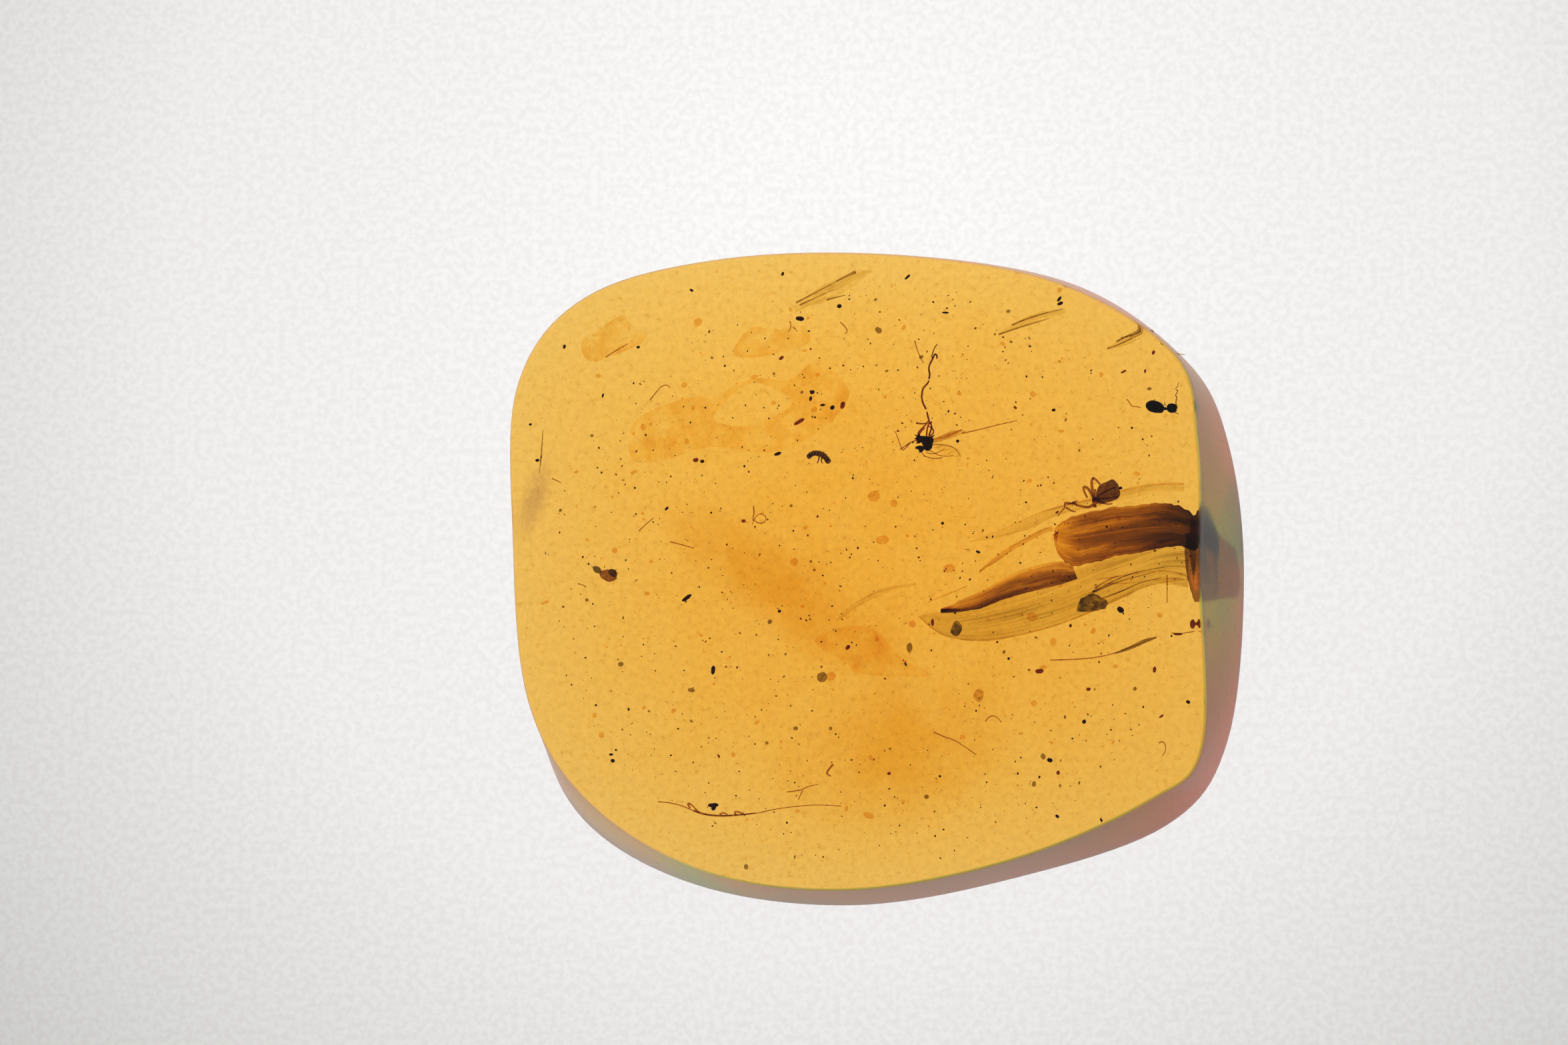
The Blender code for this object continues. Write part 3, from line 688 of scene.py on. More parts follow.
def add_wasp():
    """A crumpled black wasp with a spiky left flank, red-brown legs above it and faint wings to the right."""
    shell = cuticle("wasp_shell", [(0.35, "#140804"), (0.7, "#3a180c")], grain_mm=0.15, roughness=0.5)
    limb_skin = sealed_matter("wasp_limb_cuticle", [(0.3, "#6e3626"), (0.7, "#a05a36")], grain_mm=0.1)
    vein_skin = sealed_matter("wing_vein", [(0.3, "#b48c50"), (0.7, "#dcbc7c")], grain_mm=0.2)
    # The wings are almost clear, and show by the creases that run out along them.
    membrane = sealed_matter("wing_membrane", [(0.35, "#fffef8"), (0.55, "#f1e8c4"), (0.7, "#cdbf8c")],
                             grain_mm=0.12, stretch=(6, 1, 1), heading=16)
    trunk = add_body([(0.24, 0.22), (0.3, 0.02), (0.26, -0.2), (0.1, -0.36), (-0.1, -0.32), (-0.16, -0.14),
                      (-0.2, 0.04), (-0.12, 0.22), (0.06, 0.28)], 0.44, dents=0.2, seed=5)
    flank = add_body([(0.2, 0.06), (0.1, -0.12), (-0.14, -0.12), (-0.28, -0.04), (-0.2, 0.02), (-0.34, 0.1),
                      (-0.2, 0.12), (-0.28, 0.24), (-0.08, 0.16), (0.1, 0.16)], 0.3, (-0.2, 0.1, 0), 0.25, 6)
    head = add_body([(0.16, 0.02), (0.08, -0.14), (-0.06, -0.18), (-0.12, -0.06), (-0.28, 0.02), (-0.12, 0.1),
                     (0.04, 0.1)], 0.26, (-0.24, -0.26, 0), 0.2, 7, fine=20)
    spikes = add_threads([
        [(-0.3, 0.16, 0), (-0.5, 0.34, 0.05)], [(-0.3, 0.1, 0), (-0.52, 0.16, 0.05)],
        [(-0.25, 0.2, 0), (-0.36, 0.4, 0.05)], [(-0.3, 0, 0), (-0.46, -0.04, 0.02)],
        [(-0.2, -0.3, 0), (-0.3, -0.46, 0)], [(0.2, 0.2, 0), (0.36, 0.3, 0)],
    ], radius=0.05, thin=0.015, sides=2)
    legs = add_threads([
        [(0, 0.2, 0), (0.02, 0.5, 0.05), (0.1, 0.78, 0.08), (0.16, 0.9, 0.1), (0.24, 0.72, 0.1),
         (0.22, 0.5, 0.08), (0.12, 0.3, 0)],
        [(0.1, 0.25, 0), (0.3, 0.34, 0.05), (0.34, 0.5, 0.06), (0.22, 0.62, 0.08), (0.1, 0.7, 0.08)],
        [(-0.26, 0.2, 0.05), (-0.42, 0.34, 0.08), (-0.2, 0.58, 0.1), (0.06, 0.82, 0.1), (0.12, 0.98, 0.1)],
        [(-0.44, 0.84, 0.1), (-0.2, 0.76, 0.1), (0.04, 0.82, 0.1)],
        [(-0.36, 0.24, 0.05), (-0.28, 0.44, 0.08), (-0.06, 0.62, 0.1)],
        [(0.12, 0.3, 0.02), (0.18, 0.5, 0.05), (0.28, 0.6, 0.08), (0.2, 0.8, 0.1)],
    ], radius=0.04, thin=0.028)
    left_legs = add_threads([
        [(-0.4, 0.1, 0.02), (-0.6, 0.04, 0.05), (-0.72, -0.02, 0.06), (-0.98, -0.34, 0.08),
         (-1.06, -0.3, 0.1), (-1.2, 0.1, 0.1), (-1.36, 0.5, 0.1)],
        [(-0.7, 0, 0.06), (-0.92, -0.16, 0.08), (-1.16, -0.3, 0.08)],
    ], radius=0.024, thin=0.015)
    feelers = add_threads([
        [(-0.2, -0.42, 0), (-0.16, -0.54, 0), (0.08, -0.66, 0.02), (0.36, -0.72, 0.04), (0.66, -0.68, 0.05)],
        [(0.16, -0.36, 0), (0.44, -0.54, 0.02), (0.8, -0.64, 0.04), (1.2, -0.6, 0.05)],
        [(0, -0.45, 0), (0.2, -0.52, 0.02), (0.5, -0.48, 0.04), (0.8, -0.3, 0.05)],
        [(0.3, -0.1, 0), (0.7, -0.12, 0.02), (1.1, -0.2, 0.03), (1.4, -0.4, 0.04), (1.5, -0.66, 0.04)],
    ], radius=0.017, thin=0.012)
    rings = []
    for i in range(11):
        place = along([(-0.1, -0.6), (0.36, -0.72), (0.7, -0.68)], i / 10)
        rings.append(add_egg((*place, 0.03), (0.055, 0.04, 0.04), -5, 0, i, fine=8))
    veins = add_threads([
        [(0.2, 0.02, 0), (0.7, 0.14, 0.02), (1.2, 0.36, 0.05), (1.56, 0.5, 0.06)],
        [(0.2, 0, 0), (0.8, 0.1, 0.02), (1.3, 0.24, 0.05), (1.7, 0.42, 0.06)],
        [(0.3, 0.1, 0), (0.7, 0.26, 0.02), (1.1, 0.46, 0.05)],
    ], radius=0.012)
    wing = add_strip([(0.2, -0.06), (0.8, 0.04), (1.3, 0.2), (1.72, 0.44)],
                     [(0.2, 0.06), (0.7, 0.26), (1.2, 0.46), (1.7, 0.48)], 0.0, FILM_THICK, 0.04,
                     steps=(24, 6), seed=3)
    low_wing = add_strip([(0.24, -0.16), (0.8, -0.5), (1.3, -0.66), (1.5, -0.6)],
                         [(0.24, -0.06), (0.8, -0.08), (1.3, -0.26), (1.52, -0.56)], -0.1, FILM_THICK, 0.04,
                         steps=(24, 6), seed=4)
    body = given(joined([trunk, flank, head, spikes]), shell)
    limbs = given(joined([legs, left_legs, feelers, *rings]), limb_skin)
    wings = given(joined([wing, low_wing]), membrane)
    finish_animal([body, limbs, given(veins, vein_skin), wings], "wasp", WASP_AT)


def add_silk():
    """The strand the wasp hangs from, in short stiffened lengths, with a loop near its upper end."""
    level = 3.45
    thick = [
        [(2.85, 6.5), (2.82, 6.62), (2.78, 6.8)], [(2.74, 6.92), (2.64, 7.1), (2.55, 7.34), (2.54, 7.52)],
        [(2.55, 7.5), (2.56, 7.72), (2.64, 7.88), (2.8, 8.02), (2.86, 8.16)],
        [(2.86, 8.22), (2.9, 8.4), (2.86, 8.58), (2.84, 8.74), (2.92, 8.94)],
        [(2.92, 8.92), (3.02, 9.1), (3.08, 9.28), (3.16, 9.3), (3.22, 9.18), (3.18, 9.1)],
    ]
    fine = [
        [(2.93, 6.26), (2.9, 6.4), (2.86, 6.52)],
        [(3, 9.1), (2.96, 9.22), (3.02, 9.36), (3.1, 9.62), (3.2, 9.72)],
    ]
    strand = joined([
        add_threads([flat(level, *line) for line in thick], radius=0.042, thin=0.036),
        add_threads([flat(level, *line) for line in fine], radius=0.024),
    ])
    silk = sealed_matter("stiff_silk", [(0.3, "#4c2414"), (0.7, "#7c4428")], grain_mm=0.2)
    finish_piece(given(strand, silk), "silk_thread", "thread", "thread")


def add_beetle():
    """A smooth black beetle seen from above, with a crinkled feeler at its right end."""
    shell = cuticle("beetle_wing_case", [(0.35, "#060302"), (0.75, "#160904")], grain_mm=0.3, roughness=0.35)
    feeler_skin = sealed_matter("beetle_feeler", [(0.3, "#5a3a26"), (0.7, "#a07850")], grain_mm=0.06)
    rear = add_body([(0.4, -0.02), (0.36, -0.2), (0.3, -0.27), (0, -0.26), (-0.26, -0.18), (-0.4, 0),
                     (-0.36, 0.17), (-0.16, 0.27), (0.1, 0.24), (0.32, 0.12)],
                    0.5, (-0.32, 0.04, 0), 0.02, seed=1, fine=32)
    waist = add_egg((0.07, -0.04, 0), (0.3, 0.14, 0.16), -8)
    chest = add_body([(0.32, 0.11), (0.25, 0.04), (0.3, 0), (0.24, -0.05), (0.27, -0.12), (0.12, -0.2),
                      (-0.06, -0.19), (-0.18, -0.06), (-0.14, 0.14), (0.04, 0.2), (0.2, 0.16)],
                     0.34, (0.36, -0.02, 0), 0.05, seed=2, fine=28)
    feet = add_threads([
        [(0.44, -0.14, -0.05), (0.6, -0.24, -0.08), (0.7, -0.28, -0.08)],
        [(-0.36, 0.24, 0), (-0.33, 0.36, 0)], [(0.12, 0.08, 0), (0.1, 0.24, 0)],
    ], radius=0.022, thin=0.012)
    feeler = add_threads([
        [(0.6, 0.06, 0.05), (0.6, 0.2, 0.06), (0.61, 0.34, 0.08), (0.65, 0.4, 0.1), (0.62, 0.48, 0.1),
         (0.58, 0.52, 0.1), (0.66, 0.62, 0.1), (0.7, 0.74, 0.1), (0.62, 0.72, 0.1), (0.6, 0.84, 0.1),
         (0.72, 0.9, 0.1), (0.68, 1, 0.1), (0.74, 1.06, 0.1)],
    ], radius=0.024, thin=0.014)
    body = given(joined([rear, waist, chest, feet]), shell)
    finish_animal([body, given(feeler, feeler_skin)], "beetle", BEETLE_AT)


def add_rove_beetle():
    """A long arched beetle in nine rings, with a row of pale dots on its right half."""
    skin = sealed_matter("rove_beetle_rings", [(0.35, "#554636"), (0.65, "#7c6450")], 0.1, clear=0.85)
    pale = cuticle("pale_pore", [(0.3, "#a39a78"), (0.7, "#cfc6a0")], grain_mm=0.05, roughness=0.6)
    spine = [(-0.47, 0.06), (-0.32, 0.17), (-0.12, 0.19), (0.09, 0.13), (0.26, -0.01), (0.38, -0.17)]
    last = 8
    rings = []
    for i in range(last + 1):
        share = i / last
        heading = math.degrees(around(along(spine, share + 0.01) - along(spine, max(share - 0.01, 0))))
        if i == last:
            heading = -55
        width = 0.25 + 0.02 * (i > 3)
        rings.append(add_egg((*along(spine, share), 0), (0.22, width, 0.26), heading, 0.08, seed=i))
    legs = add_threads([
        [(-0.02, 0.04, 0), (-0.03, -0.08, 0), (-0.07, -0.18, 0), (-0.1, -0.25, 0)],
        [(0.1, 0.02, 0), (0.08, -0.12, 0), (0.09, -0.22, 0), (0.14, -0.26, 0)],
    ], radius=0.035, thin=0.022, sides=2)
    dots = []
    for i, share in enumerate((0.42, 0.5, 0.58, 0.66, 0.76, 0.86)):
        dots.append(add_egg((*along(spine, share), 0.13), (0.05, 0.04, 0.04), 30 * i, 0.2, seed=i, fine=8))
    parts = [given(joined([*rings, legs]), skin), given(joined(dots), pale)]
    finish_animal(parts, "rove_beetle", ROVE_BEETLE_AT)


def add_bug():
    """A plump bug with an olive-green head, a red-brown middle and pale flecks along its right rim."""
    # Mould has turned the head and the rim dull green, and the dried belly is still red-brown.
    olive = sealed_matter("green_mould", [(0.3, "#5c5a44"), (0.7, "#8a8468")], grain_mm=0.12, clear=0.9)
    red = sealed_matter("dried_bug_belly", [(0.3, "#7d5038"), (0.5, "#9c7050"), (0.72, "#c09a74")],
                        grain_mm=0.1, clear=0.9)
    pale = cuticle("pale_fleck", [(0.3, "#b0a890"), (0.7, "#e0d8c0")], grain_mm=0.05, roughness=0.6)
    head = add_egg((-0.42, 0.18, 0), (0.4, 0.28, 0.28), 150, 0.2, seed=3, fine=20)
    body = add_body([(0.42, -0.1), (0.3, -0.24), (0.1, -0.32), (-0.12, -0.26), (-0.36, -0.06), (-0.36, 0.12),
                     (-0.1, 0.22), (0.16, 0.2), (0.36, 0.08)], 0.4, (0.08, -0.05, 0), 0.12, seed=4, fine=28)
    rim = add_egg((0.28, 0.02, -0.04), (0.46, 0.3, 0.24), -35, 0.2, seed=5, fine=20)
    flecks = []
    for i, place in enumerate(((0.1, 0.06), (0.25, 0.05), (0.33, -0.02), (0.42, -0.08), (0.36, -0.2),
                               (0.2, -0.12), (-0.08, 0.05), (0.05, -0.12), (-0.2, 0.08), (0.28, -0.24))):
        flecks.append(add_egg((*place, 0.2), (0.06, 0.04, 0.04), 40 * i, 0.3, seed=i, fine=8))
    hairs = add_threads([
        [(0.3, 0.12, 0), (0.5, 0.16, 0)], [(0.42, 0, 0), (0.56, 0.02, 0)],
        [(-0.6, 0.28, 0), (-0.68, 0.34, 0)], [(-0.1, 0.24, 0), (-0.08, 0.36, 0)],
        [(0.4, -0.2, 0), (0.52, -0.26, 0)],
    ], radius=0.02, thin=0.01)
    parts = [given(joined([head, rim, hairs]), olive), given(body, red), given(joined(flecks), pale)]
    finish_animal(parts, "bug", BUG_AT)


# Bark and splinters


def add_bark():
    # Charred bark, soaked through: orange-brown and glowing at its thin left end, nearly black to the right.
    strip_bark = fibrous("resin_soaked_bark", [
        (0.02, "#2c1c10"), (0.15, "#5c3c18"), (0.28, "#9c6c24"), (0.39, "#d8ac48"), (0.52, "#f4dc84")],
        fibres=22.0, patches=(2.6, 3.2), darker_end=0.44, lighter_side=-0.04)
    strip = add_strip(
        [(8.25, 1.5), (8.3, 0.8), (8.65, 0.35), (9.1, 0.15), (10, 0.3), (10.75, 0.5), (11.75, 0.65),
         (12.65, 0.8), (13.6, 0.9), (14.85, 0.5)],
        [(8.3, 1.6), (8.4, 1.9), (8.9, 2.2), (9.6, 2.4), (10.8, 2.6), (12.1, 2.7), (13.05, 2.75),
         (13.65, 2.6), (14.2, 2.2), (14.9, 1.4)],
        BARK_LEVEL, 0.2, waves=0.12, rough=0.08, steps=(110, 26), seed=1)
    # The strip goes on down the pebble's side, close under its surface, and shows dark through it.
    root_bark = fibrous("charred_bark_end", [
        (0.0, "#866c54"), (0.1, "#b08872"), (0.18, "#dc9478"), (0.5, "#e09c80")],
        fibres=9.0, patches=(2, 3), lighter_side=-0.5)
    root_end = add_strip(
        [(15.5, -1.1, 1), (15.7, -0.6, 1), (15.75, -0.1, 1.1), (15.65, 0.4, 1.2), (15.55, 0.9, 1.2)],
        [(14.6, -1.6, 4.2), (14.3, -0.5, 4.3), (14.2, 0.7, 4.3), (14.4, 1.4, 4.3), (14.45, 2, 4.3)],
        None, 0.1, waves=0.05, rough=0.04, steps=(30, 24), seed=8)
    whole_strip = joined([given(strip, strip_bark), given(root_end, root_bark)])
    finish_piece(whole_strip, "bark_strip_grain", "bark", "bark_strip")
    # The splinter is thinner, so more light comes through, most of it along its upper edge.
    splinter_bark = fibrous("orange_splinter", [
        (0.36, "#442a14"), (0.5, "#7c5428"), (0.64, "#c89c54"), (0.78, "#f8e4a8")],
        fibres=12.0, patches=(2.2, 2.4), darker_end=0.06, lighter_side=0.26)
    splinter = add_strip(
        [(3.4, -1.75), (4.9, -1.7), (6, -1.3), (7.15, -1), (8.3, -0.75), (9.35, -0.45)],
        [(3.45, -1.7), (4.3, -1.3), (5.4, -0.85), (6.5, -0.25), (7.6, 0.1), (8.65, 0.25), (9.15, 0)],
        SPLINTER_LEVEL, 0.16, waves=0.08, rough=0.06, steps=(80, 16), seed=2)
    finish_piece(given(splinter, splinter_bark), "bark_splinter_grain", "bark", "bark_splinter")
    sliver_bark = fibrous("pale_sliver", [(0.36, "#b48c50"), (0.48, "#ecd294"), (0.6, "#fbf0cc")],
                          fibres=8.0, patches=(3, 1))
    sliver = add_strip(
        [(5.1, -0.1), (5.7, 0.25), (6.4, 0.7), (7.1, 1.1), (7.8, 1.45), (8.3, 1.6)],
        [(5.12, -0.05), (5.6, 0.4), (6.3, 0.85), (7, 1.25), (7.7, 1.6), (8.25, 1.8)],
        SPLINTER_LEVEL, 0.08, waves=0.04, rough=0.05, steps=(50, 8), seed=3)
    finish_piece(given(sliver, sliver_bark), "bark_sliver_grain", "bark", "bark_sliver")


def add_crumbs():
    """The three largest loose crumbs, the last of them paler than the others."""
    dark = sealed_matter("bark_crumb", [(0.38, "#4c4830"), (0.5, "#7c744c"), (0.66, "#ccbc88")],
                         grain_mm=0.3, clear=0.95)
    pale = sealed_matter("pale_crumb", [(0.35, "#c49c66"), (0.6, "#ecd4a0")], grain_mm=0.2)
    for i, (outline, height, middle, fine, skin) in enumerate((
            ([(0.7, -0.05), (0.3, -0.3), (-0.3, -0.36), (-0.7, -0.28), (-0.5, 0.2), (-0.1, 0.4), (0.2, 0.36)],
             0.36, (9.9, -1.5, 2.8), 28, dark),
            ([(0.24, 0.04), (0.14, -0.26), (-0.04, -0.34), (-0.24, -0.18), (-0.2, 0.12), (0.02, 0.34)],
             0.3, (4, -2.45, 2.9), 20, dark),
            ([(0.22, 0.1), (0.16, -0.2), (-0.02, -0.3), (-0.2, -0.16), (-0.18, 0.14), (0.04, 0.3)],
             0.3, (4.95, -5.3, 2.9), 20, pale)), start=1):
        crumb = given(add_body(outline, height, middle, 0.15, seed=i + 2, fine=fine), skin)
        finish_piece(crumb, f"bark_crumb_{i}_grain", "crumb", f"bark_crumb_{i}")


# Films, cracks and clouds in the resin


def add_film(name, material, low_edge, high_edge, level, seed, thick=FILM_THICK, waves=0.05, rough=0.2,
             steps=(40, 8)):
    film = add_strip(low_edge, high_edge, level, thick, waves, rough, steps, seed)
    finish_piece(given(film, material), name, "amber")


def add_films():
    # A later flow of resin froze against an older one, and the seam shows as a thin olive film with streaks.
    olive = fibrous("olive_flow_film", [(0.34, "#b8a868"), (0.46, "#e6dcac"), (0.6, "#f6f0d4")],
                    fibres=16.0, patches=(3, 3), darker_end=0.04)
    add_film("olive_film", olive,
             [(2.3, -1.9), (3, -2.5), (4, -2.85), (5.4, -2.95), (7.4, -2.6), (9.2, -2.05), (11, -1.3),
              (12.4, -0.7), (13.9, -0.85)],
             [(2.35, -1.8), (3, -1.7), (4.4, -1.5), (7.3, -0.7), (9, 0), (10.6, 0.7), (12, 1.05),
              (13, 1.25), (13.95, 1.5)], FILM_LEVEL, seed=5, waves=0.15, rough=0.03, steps=(80, 20))
    pale_seam = fibrous("pale_flow_seam", [(0.36, "#d8c896"), (0.48, "#f2eacc"), (0.6, "#fffdf6")],
                        fibres=10.0, patches=(2, 2))
    add_film("seam_under_spider", pale_seam,
             [(4.6, 1.2), (5.9, 1.4), (7.2, 1.75), (8.5, 2.3), (9.95, 2.6), (11.15, 2.85), (12.85, 3.2),
              (13.9, 3.25)],
             [(4.6, 1.25), (5.9, 1.7), (7.3, 2.3), (8.9, 2.8), (10.05, 3.05), (11.15, 3.35), (12.85, 3.65),
              (13.9, 3.6)], SPLINTER_LEVEL - 0.5, seed=6, waves=0.1, rough=0.05, steps=(80, 12))
    add_film("top_right_streak_1", pale_seam, [(5.8, 10.1), (6.8, 10.4), (7.8, 10.65), (8.7, 10.95)],
             [(5.8, 10.15), (6.8, 10.75), (7.7, 11.05), (8.7, 11.2)], 2.8, seed=12, rough=0.3, steps=(40, 10))
    add_film("top_right_streak_2", pale_seam, [(10.6, 9.4), (11.3, 9.5), (12, 9.8), (12.5, 10.1)],
             [(10.6, 9.5), (11.3, 9.8), (12, 10.15), (12.5, 10.3)], 3.0, seed=13, rough=0.3, steps=(40, 10))
    add_film("pale_sliver_film", pale_seam, [(-1.2, -2.1), (-0.3, -1.5), (0.9, -0.95), (2.3, -0.6)],
             [(-1.2, -2), (-0.3, -1.25), (0.9, -0.7), (2.3, -0.5)], 3.3, seed=15)
    add_film("top_crack_film", pale_seam,
             [(-3.1, 11.25), (-2.5, 11.55), (-2, 11.65), (-0.95, 12.05), (0.3, 13)],
             [(-3, 11.7), (-2.4, 12.1), (-1.85, 12.45), (-0.9, 12.85), (-0.2, 13.1)], 3.6, seed=8,
             waves=0.1, rough=0.1)
    # Where a film is charred or folded it is darker. The sheet at the side is painted shade: a dark band put
    # along the right rim, where the wall's edge looks dark.
    dark_olive = fibrous("dark_olive_film", [(0.36, "#6c5c38"), (0.5, "#a4935e"), (0.66, "#e0d4a8")],
                         fibres=8.0, patches=(4, 2))
    # A dark sheet of painted shade, a band along the right rim where the wall's edge looks dark.
    add_film("painted_shade_at_the_side", dark_olive,
             [(13.75, 1.5), (13.9, 0.9), (14, 0.2), (14.1, -0.4), (14.2, -1.1)],
             [(14.3, 1.5), (14.4, 0.9), (14.4, 0.2), (14.35, -0.4), (14.3, -1.1)], 2.0, seed=11, thick=0.03,
             waves=0.1)
    add_film("right_low_sliver", dark_olive, [(10.9, -3.7), (11.5, -3.55), (12.1, -3.3), (12.7, -3.05)],
             [(10.9, -3.65), (11.5, -3.4), (12.1, -3.12), (12.7, -3)], 3.0, seed=14, rough=0.3,
             steps=(40, 10))
    folded = sealed_matter("folded_film", [(0.3, "#c79a50"), (0.7, "#e6cc90")], grain_mm=0.2)
    add_film("brown_lens", folded, [(2.95, 5.6), (3.4, 5.62), (3.9, 5.75), (4.3, 5.98)],
             [(2.95, 5.62), (3.4, 5.76), (3.9, 5.95), (4.3, 6.02)], 3.2, seed=9, thick=0.03, waves=0.02,
             rough=0.1, steps=(24, 6))


def add_film_fibres():
    """Fine dark fibres along the edges of the films, and a fan of them from the largest crumb."""
    fine = add_threads([
        flat(2.8, (5.8, 10.1), (6.8, 10.43), (8, 10.75)),
        flat(2.8, (6.4, 10.5), (7.4, 10.95), (8.6, 11.15)),
        flat(3, (10.6, 9.4), (11.4, 9.65), (12.4, 10.2)),
        flat(3, (11, 9.7), (11.6, 10), (12.3, 10.35)),
        flat(3, (11.2, 9.85), (11.9, 10), (12.55, 10.3)),
        flat(3, (13, 9.4), (13.5, 9.3), (13.9, 9.25)),
        flat(2.8, (9.7, -1.15), (10.4, -0.8), (11.3, -0.5), (12.6, -0.2)),
        flat(2.8, (9.9, -1), (10.8, -0.55), (11.8, -0.15), (13, 0)),
        flat(2.8, (10, -0.85), (10.5, -0.5), (11, -0.35)),
        flat(2.8, (10.3, -1.3), (11.2, -1), (12, -0.6), (12.9, -0.45)),
        flat(3.5, (-3.07, 11.71), (-2.5, 11.98), (-1.72, 12.38), (-1, 12.75)),
        flat(3.5, (-1.7, 11.79), (-1.3, 11.9), (-0.88, 11.98)),
        flat(3.5, (-2.9, 11.6), (-2.3, 11.85), (-1.4, 12.25)),
        flat(3.3, (-14.42, 5.3), (-14.39, 5.8), (-14.35, 6.5)),
        flat(3.3, (-14.42, 5.4), (-14.44, 5.1), (-14.5, 4.6)),
    ], radius=0.04, thin=0.015)
    heavy = add_threads([
        flat(3.5, (-0.45, 13), (-0.8, 12.85), (-1.3, 12.6)),
        flat(3, (12.5, 10.3), (12.1, 10.2), (11.6, 9.9)),
    ], radius=0.08, thin=0.03)
    fibre = sealed_matter("dark_fibre", [(0.35, "#88704a"), (0.65, "#c8b484")], grain_mm=0.3)
    finish_piece(given(joined([fine, heavy]), fibre), "film_fibres", "amber")


def add_clouds():
    # Older flows that darkened in the sun before the next one covered them, the swirl with a clear eye in it.
    orange_flow = sealed_matter("orange_flow", [(0.34, "#fffdf4"), (0.5, "#fcf0cc"), (0.66, "#f6dfa6")],
                                grain_mm=0.9)
    swirl = add_sheet(
        [(-10.4, 6.8), (-9.3, 7.4), (-7.9, 7.75), (-6.9, 7.8), (-6.05, 8.15), (-5.15, 8.5), (-3.6, 8.35),
         (-2.7, 9), (-2.1, 9.1), (-1.3, 8.4), (-0.9, 7.65), (-1.5, 6.7), (-2.45, 5.95), (-4.5, 5.25),
         (-6.95, 5.6), (-8.95, 5.1), (-10.35, 5.05), (-10.65, 5.95)], 1.6, thick=0.03,
        hole=[(-6.9, 6.85), (-6.3, 7.6), (-5.35, 8.25), (-4.55, 8.15), (-3.4, 7.45), (-4.1, 6.85),
              (-5.1, 6.45), (-6.25, 6.5)])
    fan = add_sheet([(-5.8, 9.5), (-5.6, 10.1), (-5.25, 10.5), (-4.85, 10.7), (-3.75, 10.55), (-2.75, 10.7),
                     (-2.4, 10), (-3.35, 9.6), (-4.85, 9.35)], 3.5)
    corner = add_sheet([(-12.8, 10.3), (-12, 10.85), (-11.05, 11.4), (-10.6, 11), (-9.95, 10.3),
                        (-11.55, 9.6), (-12.5, 9.5)], 2.2)
    tongue = add_sheet([(-2.45, -2.75), (-1, -2.15), (0.3, -2.4), (1.3, -3.5), (2.4, -4.05), (2.25, -4.35),
                        (-0.5, -4.15), (-1, -3.75)], 1.2)
    for sheet, name in ((swirl, "swirl"), (fan, "fan"), (corner, "corner_flake"), (tongue, "orange_tongue")):
        finish_piece(given(sheet, orange_flow), name, "amber")
    add_cloud("broad_orange_flow", "#f6e2a2", (-3.5, -0.8, 1.9), (7.6, 2), -34, wisp_mm=2.2)
    add_cloud("low_orange_flow", "#f8e8b0", (1, -7.6, 0.7), (6, 3.6), 12, wisp_mm=2.0)
    add_cloud("left_haze", "#e4dcf0", (-14.75, 3.5, 2.9), (0.75, 2.2), -18, wisp_mm=0.25)


def add_flow_lines():
    # The outlines of old flows: hair-thin seams, seen as faint brown lines.
    seam = sealed_matter("flow_seam", [(0.3, "#d8b478"), (0.7, "#f8ecc8")], grain_mm=0.5)
    lines = add_threads([
        flat(2.3, (10, -0.45), (11.55, -0.25), (12.65, -0.1), (13.6, -0.2), (14.05, -0.5)),
        flat(2.3, (10.3, -0.65), (11.35, -0.65), (12.45, -0.5), (13.6, -0.45)),
        flat(3, (7.75, 2.45), (8.9, 2.75), (10.05, 2.95), (11.15, 3.3), (12.85, 3.62), (13.9, 3.55)),
        flat(3.5, (2.85, -1.35), (3.65, -1.05), (4.55, -0.7)),
        flat(2.1, (2.25, -1.85), (2.9, -2.5), (3.75, -2.85), (5.35, -2.95), (7.35, -2.6), (9.15, -2.05),
             (10.95, -1.25), (12.4, -0.6), (13.7, -0.5)),
    ], radius=0.03)
    finish_piece(given(lines, seam), "flow_seams", "amber")


